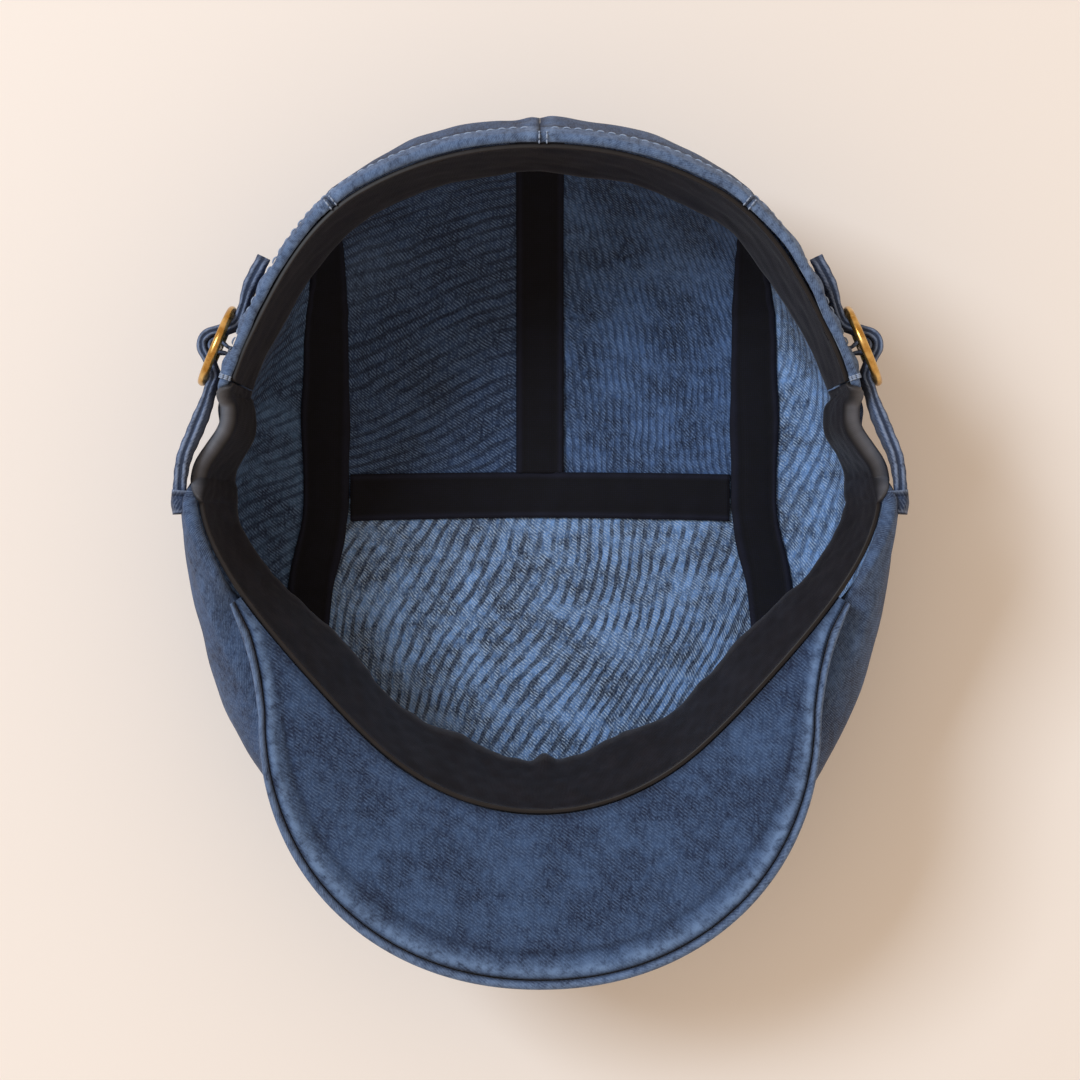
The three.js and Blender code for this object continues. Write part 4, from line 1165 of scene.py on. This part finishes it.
class Nodes:
    """Short calls that add and join shader nodes of one material."""

    def __init__(self, name):
        self.material = bpy.data.materials.new(name)
        self.material.use_nodes = True
        self.tree = self.material.node_tree
        self.shader = self.tree.nodes["Principled BSDF"]

    def add(self, kind, **settings):
        node = self.tree.nodes.new(kind)
        for key, value in settings.items():
            setattr(node, key, value)
        return node

    def put(self, value, socket):
        if isinstance(value, bpy.types.NodeSocket):
            self.tree.links.new(value, socket)
        else:
            socket.default_value = value

    def math(self, operation, a, b=0.0, clamp=False):
        node = self.add("ShaderNodeMath", operation=operation, use_clamp=clamp)
        self.put(a, node.inputs[0])
        self.put(b, node.inputs[1])
        return node.outputs[0]

    def cloth(self):
        return self.add("ShaderNodeUVMap", uv_map="cloth").outputs[0]

    def value(self, name):
        return self.add("ShaderNodeAttribute", attribute_name=name).outputs["Fac"]

    def turned(self, vector, angle, scale):
        """The cloth's coordinates turned by an angle and stretched, for threads that run one way."""
        node = self.add("ShaderNodeMapping")
        self.put(vector, node.inputs["Vector"])
        node.inputs["Rotation"].default_value = (0, 0, math.radians(angle))
        node.inputs["Scale"].default_value = scale
        return node.outputs[0]

    def noise(self, vector, scale, detail, rough):
        node = self.add("ShaderNodeTexNoise")
        self.put(vector, node.inputs["Vector"])
        node.inputs["Scale"].default_value = scale
        node.inputs["Detail"].default_value = detail
        node.inputs["Roughness"].default_value = rough
        return node.outputs["Fac"]

    def threads(self, vector, spacing):
        """Fine bands across the first coordinate, a little uneven."""
        node = self.add("ShaderNodeTexWave", wave_type="BANDS", bands_direction="X", wave_profile="SIN")
        self.put(vector, node.inputs["Vector"])
        node.inputs["Scale"].default_value = TAU / spacing / 20
        node.inputs["Distortion"].default_value = 1.0
        node.inputs["Detail Scale"].default_value = 600.0
        return node.outputs["Fac"]

    def axis(self, vector, name):
        node = self.add("ShaderNodeSeparateXYZ")
        self.put(vector, node.inputs[0])
        return node.outputs[name]

    def ramp(self, value, low, high):
        """A soft step from 0 below low to 1 above high."""
        node = self.add("ShaderNodeMapRange", interpolation_type="SMOOTHSTEP")
        self.put(value, node.inputs["Value"])
        node.inputs["From Min"].default_value = low
        node.inputs["From Max"].default_value = high
        return node.outputs["Result"]

    def blend(self, share, a, b):
        node = self.add("ShaderNodeMix", data_type="RGBA")
        self.put(share, node.inputs["Factor"])
        self.put(a, node.inputs[6])
        self.put(b, node.inputs[7])
        return node.outputs[2]

    def bump(self, height, strength, distance, normal=None):
        node = self.add("ShaderNodeBump")
        self.put(height, node.inputs["Height"])
        node.inputs["Strength"].default_value = strength
        node.inputs["Distance"].default_value = distance
        if normal is not None:
            self.put(normal, node.inputs["Normal"])
        return node.outputs[0]

    def finish(self, colour, roughness, normal, **constants):
        self.put(colour, self.shader.inputs["Base Color"])
        self.put(roughness, self.shader.inputs["Roughness"])
        if normal is not None:
            self.put(normal, self.shader.inputs["Normal"])
        for key, value in constants.items():
            self.shader.inputs[key.replace("_", " ")].default_value = value
        return self.material


def shade(red, green, blue):
    """A colour given as on screen, 0 to 255, as the linear values that nodes take."""
    def linear(value):
        share = value / 255
        return share / 12.92 if share <= 0.04045 else ((share + 0.055) / 1.055) ** 2.4
    return (linear(red), linear(green), linear(blue), 1)


TWILL_PITCH = 0.00082


def denim(name, dark, middle, light, ribs=None, twill_angle=-38):
    """Washed denim: pale twill threads over cloudy indigo, and wavy dark ribs where ribs says so."""
    n = Nodes(name)
    cloth = n.cloth()
    clouds = n.noise(cloth, 62, 4, 0.6)
    spots = n.noise(cloth, 330, 4, 0.68)
    grain = n.noise(cloth, 1500, 2, 0.6)
    twill_way = n.turned(cloth, 90 - twill_angle, (1, 1, 1))
    wander = n.math("MULTIPLY", n.noise(cloth, 240, 2, 0.5), 0.0011)
    place = n.math("ADD", n.axis(twill_way, "X"), wander)
    twill = n.math("SINE", n.math("MULTIPLY", place, TAU / TWILL_PITCH))
    dashes = n.noise(n.turned(cloth, 90 - twill_angle, (1, 0.22, 1)), 1250, 2, 0.6)
    thread = n.math("MULTIPLY", n.ramp(twill, -0.2, 0.9), n.ramp(dashes, 0.34, 0.62))

    share = n.math("MULTIPLY", n.ramp(clouds, 0.38, 0.66), 0.6)
    share = n.math("ADD", share, n.math("MULTIPLY", n.ramp(spots, 0.36, 0.68), 0.5))
    base = n.blend(n.math("MINIMUM", share, 1.0), dark, middle)
    amount = n.math("MULTIPLY", thread, 0.62 if ribs else 0.3)
    normal = n.bump(clouds, 0.35, 0.0012)
    if ribs:
        rib = rib_share(n, cloth, ribs)
        base = n.blend(n.math("MULTIPLY", rib, ribs["depth"]), base, dark)
        amount = n.math("MULTIPLY", amount, n.math("SUBTRACT", 1.0, n.math("MULTIPLY", rib, 0.72)))
        normal = n.bump(n.math("MULTIPLY", rib, -1.0), 0.55, 0.0005, normal)
    base = n.blend(amount, base, light)
    worn_and_highlit = n.math("MULTIPLY", n.value("wear_and_highlight"), n.ramp(spots, 0.22, 0.62), clamp=True)
    base = n.blend(n.math("MULTIPLY", worn_and_highlit, 0.8), base, light)
    base = n.blend(n.math("MULTIPLY", n.ramp(grain, 0.35, 0.75), 0.14), base, light)
    # Painted shade: creases and grooves are darkened toward a deep navy.
    base = n.blend(n.math("MULTIPLY", n.value("crease_shade"), 0.75), base, shade(12, 18, 34))
    normal = n.bump(thread, 0.5, 0.00016, normal)
    normal = n.bump(grain, 0.4, 0.00014, normal)
    return n.finish(base, 0.9, normal, Sheen_Weight=0.06, Sheen_Roughness=0.5, Specular_IOR_Level=0.2)


def rib_share(n, cloth, ribs):
    """How dark each place is from the ribs, which wander and fade like the grain of wood."""
    turned = n.turned(cloth, -ribs["angle"], (1, 1, 1))
    wide = n.math("MULTIPLY", n.noise(cloth, ribs["wander_scale"], 1, 0.4), ribs["wander"])
    small = n.math("MULTIPLY", n.noise(cloth, 130, 2, 0.5), 0.0022)
    place = n.math("ADD", n.axis(turned, "Y"), n.math("ADD", wide, small))
    wave = n.math("SINE", n.math("MULTIPLY", place, TAU / ribs["spacing"]))
    stretched = n.turned(cloth, -ribs["angle"], (0.25, 1, 1))
    fade = n.ramp(n.noise(stretched, 150, 2, 0.5), 0.3, 0.6)
    return n.math("MULTIPLY", n.ramp(wave, 0.0, 0.85), n.math("ADD", n.math("MULTIPLY", fade, 0.7), 0.3))


def plain_thread():
    n = Nodes("thread")
    place = n.add("ShaderNodeTexCoord").outputs["Object"]
    fuzz = n.noise(place, 2500, 2, 0.6)
    base = n.blend(fuzz, shade(96, 118, 152), shade(168, 186, 212))
    return n.finish(base, 0.8, n.bump(fuzz, 0.3, 0.0001), Specular_IOR_Level=0.25)


def dark_cloth(name, dark, light, worn_and_highlit, roughness, sheen, spacing):
    """Plain dark cloth with fine threads and soft patches."""
    n = Nodes(name)
    cloth = n.cloth()
    patches = n.noise(cloth, 130, 3, 0.6)
    weft = n.threads(n.turned(cloth, 0, (1, 1, 1)), spacing)
    warp = n.threads(n.turned(cloth, 90, (1, 1, 1)), spacing)
    weave = n.math("MULTIPLY", weft, warp)
    share = n.math("ADD", n.math("MULTIPLY", patches, 0.6), n.math("MULTIPLY", weave, 0.5))
    base = n.blend(n.ramp(share, 0.25, 0.9), dark, light)
    # Blends toward the third colour: real wear, and on the sweatband a painted highlight along its roll in
    # the notches.
    base = n.blend(n.math("MULTIPLY", n.value("wear_and_highlight"), n.math("ADD", patches, 0.3), clamp=True), base, worn_and_highlit)
    # Painted shade: creases and grooves are darkened toward the dark colour.
    base = n.blend(n.math("MULTIPLY", n.value("crease_shade"), 0.7), base, dark)
    normal = n.bump(weave, 0.35, 0.00012)
    normal = n.bump(patches, 0.25, 0.0006, normal)
    gloss = {"Sheen_Weight": sheen, "Sheen_Roughness": 0.4, "Specular_IOR_Level": 0.35}
    return n.finish(base, roughness, normal, **gloss)


def brass():
    n = Nodes("brass")
    place = n.add("ShaderNodeTexCoord").outputs["Object"]
    tarnish = n.noise(place, 260, 4, 0.6)
    scratches = n.noise(n.turned(place, 20, (1, 1, 0.1)), 1800, 2, 0.5)
    base = n.blend(n.ramp(tarnish, 0.35, 0.72), shade(176, 132, 62), shade(222, 186, 118))
    rough = n.math("ADD", n.math("MULTIPLY", tarnish, 0.25), 0.16)
    return n.finish(base, rough, n.bump(scratches, 0.15, 0.0001), Metallic=1.0)


def floor_material():
    n = Nodes("floor")
    return n.finish(shade(234, 232, 230), 0.9, None, Specular_IOR_Level=0.1)


def inside_denim(name, middle, light, angle, spacing, depth, wander=0.012, wander_scale=16):
    ribs = {"angle": angle, "spacing": spacing, "depth": depth}
    ribs.update(wander=wander, wander_scale=wander_scale)
    return denim(name, shade(24, 36, 62), middle, light, ribs, -42)


def build_materials():
    pale = shade(196, 224, 255)
    grey_shaded = shade(122, 152, 196)
    front = shade(108, 152, 214)
    outside = shade(16, 27, 54), shade(47, 71, 110), shade(126, 154, 196)
    peak = shade(17, 29, 56), shade(52, 76, 114), shade(108, 138, 182)
    strap_shades = shade(20, 32, 58), shade(54, 76, 114), shade(140, 160, 194)
    tape = shade(3, 5, 14), shade(13, 16, 34), shade(24, 28, 48)
    # The band's third colour serves its worn lower edge and the painted highlight on its roll in the
    # notches.
    band = shade(15, 14, 18), shade(46, 44, 52), shade(112, 118, 130)
    # Painted shade: the back panels and the left side take darker inside colours, and grey threads, where
    # the cap's walls keep the key lamp off them; the right side shares the lit front colours. The back left
    # is partly a darker denim as well.
    back_left_shaded, back_right_shaded, side_left_shaded = shade(48, 72, 114), shade(74, 106, 158), shade(76, 108, 150)
    return {
        "denim outside": denim("denim outside", *outside),
        "denim peak": denim("denim peak", *peak),
        "denim strap": denim("denim strap", *strap_shades),
        "inside front": inside_denim("inside front", front, pale, 66, 0.0036, 0.95, 0.026, 12),
        "inside back left": inside_denim("inside back left", back_left_shaded, grey_shaded, 18, 0.0037, 1.0),
        "inside back right": inside_denim("inside back right", back_right_shaded, grey_shaded, 100, 0.0022, 0.5),
        "inside side left": inside_denim("inside side left", side_left_shaded, grey_shaded, 28, 0.0034, 0.7),
        "inside side right": inside_denim("inside side right", front, pale, 62, 0.0036, 0.6),
        "binding": dark_cloth("binding", *tape, 0.9, 0.0, 0.0007),
        "sweatband": dark_cloth("sweatband", *band, 0.5, 0.05, 0.00045),
        "brass": brass(),
        "thread": plain_thread(),
    }


# Stage

FLOOR_SIZE = 6
FLOOR_DROP = 0.0002
CAMERA_HEIGHT = 0.780
CAMERA_SHIFT_Y = 0.75
CAMERA_FIELD = math.radians(24.72)
KEY_PLACE = (-1.35, 0.80, 1.95)
KEY_AIM = (0, 0, 0.03)
KEY_SIZE = 0.80
KEY_POWER = 37
KEY_COLOUR = (0.80, 0.90, 1.0)
SKY_COLOUR = (1.0, 0.77, 0.58, 1)
SKY_STRENGTH = 0.80


def build_stage():
    bpy.ops.mesh.primitive_plane_add(size=FLOOR_SIZE, location=(0, 0, -FLOOR_DROP))
    floor = bpy.context.object
    floor.name = "floor"
    floor.data.materials.append(floor_material())

    camera_data = bpy.data.cameras.new("camera")
    camera_data.angle = CAMERA_FIELD
    camera = bpy.data.objects.new("camera", camera_data)
    camera.location = (0, (SHIFT_Y + CAMERA_SHIFT_Y) * MM, CAMERA_HEIGHT)
    bpy.context.collection.objects.link(camera)
    bpy.context.scene.camera = camera

    add_key_lamp()
    world = bpy.data.worlds.new("studio")
    bpy.context.scene.world = world
    world.use_nodes = True
    background = world.node_tree.nodes["Background"]
    background.inputs["Color"].default_value = SKY_COLOUR
    background.inputs["Strength"].default_value = SKY_STRENGTH
    bpy.context.scene.view_settings.view_transform = "Standard"


def add_key_lamp():
    """A soft square lamp to the upper left that faces the cap."""
    lamp = bpy.data.lights.new("key", "AREA")
    lamp.size = KEY_SIZE
    lamp.energy = KEY_POWER
    lamp.color = KEY_COLOUR
    holder = bpy.data.objects.new("key", lamp)
    holder.location = KEY_PLACE
    holder.rotation_euler = (Vector(KEY_AIM) - Vector(KEY_PLACE)).to_track_quat("-Z", "Y").to_euler()
    bpy.context.collection.objects.link(holder)


def main():
    materials = build_materials()
    build_crown(materials)
    build_tapes(materials)
    build_sweatbands(materials)
    peak_underside(materials["denim peak"])
    peak_top(materials["denim outside"])
    build_adjusters(materials)
    build_stitches(materials)
    build_stage()


main()
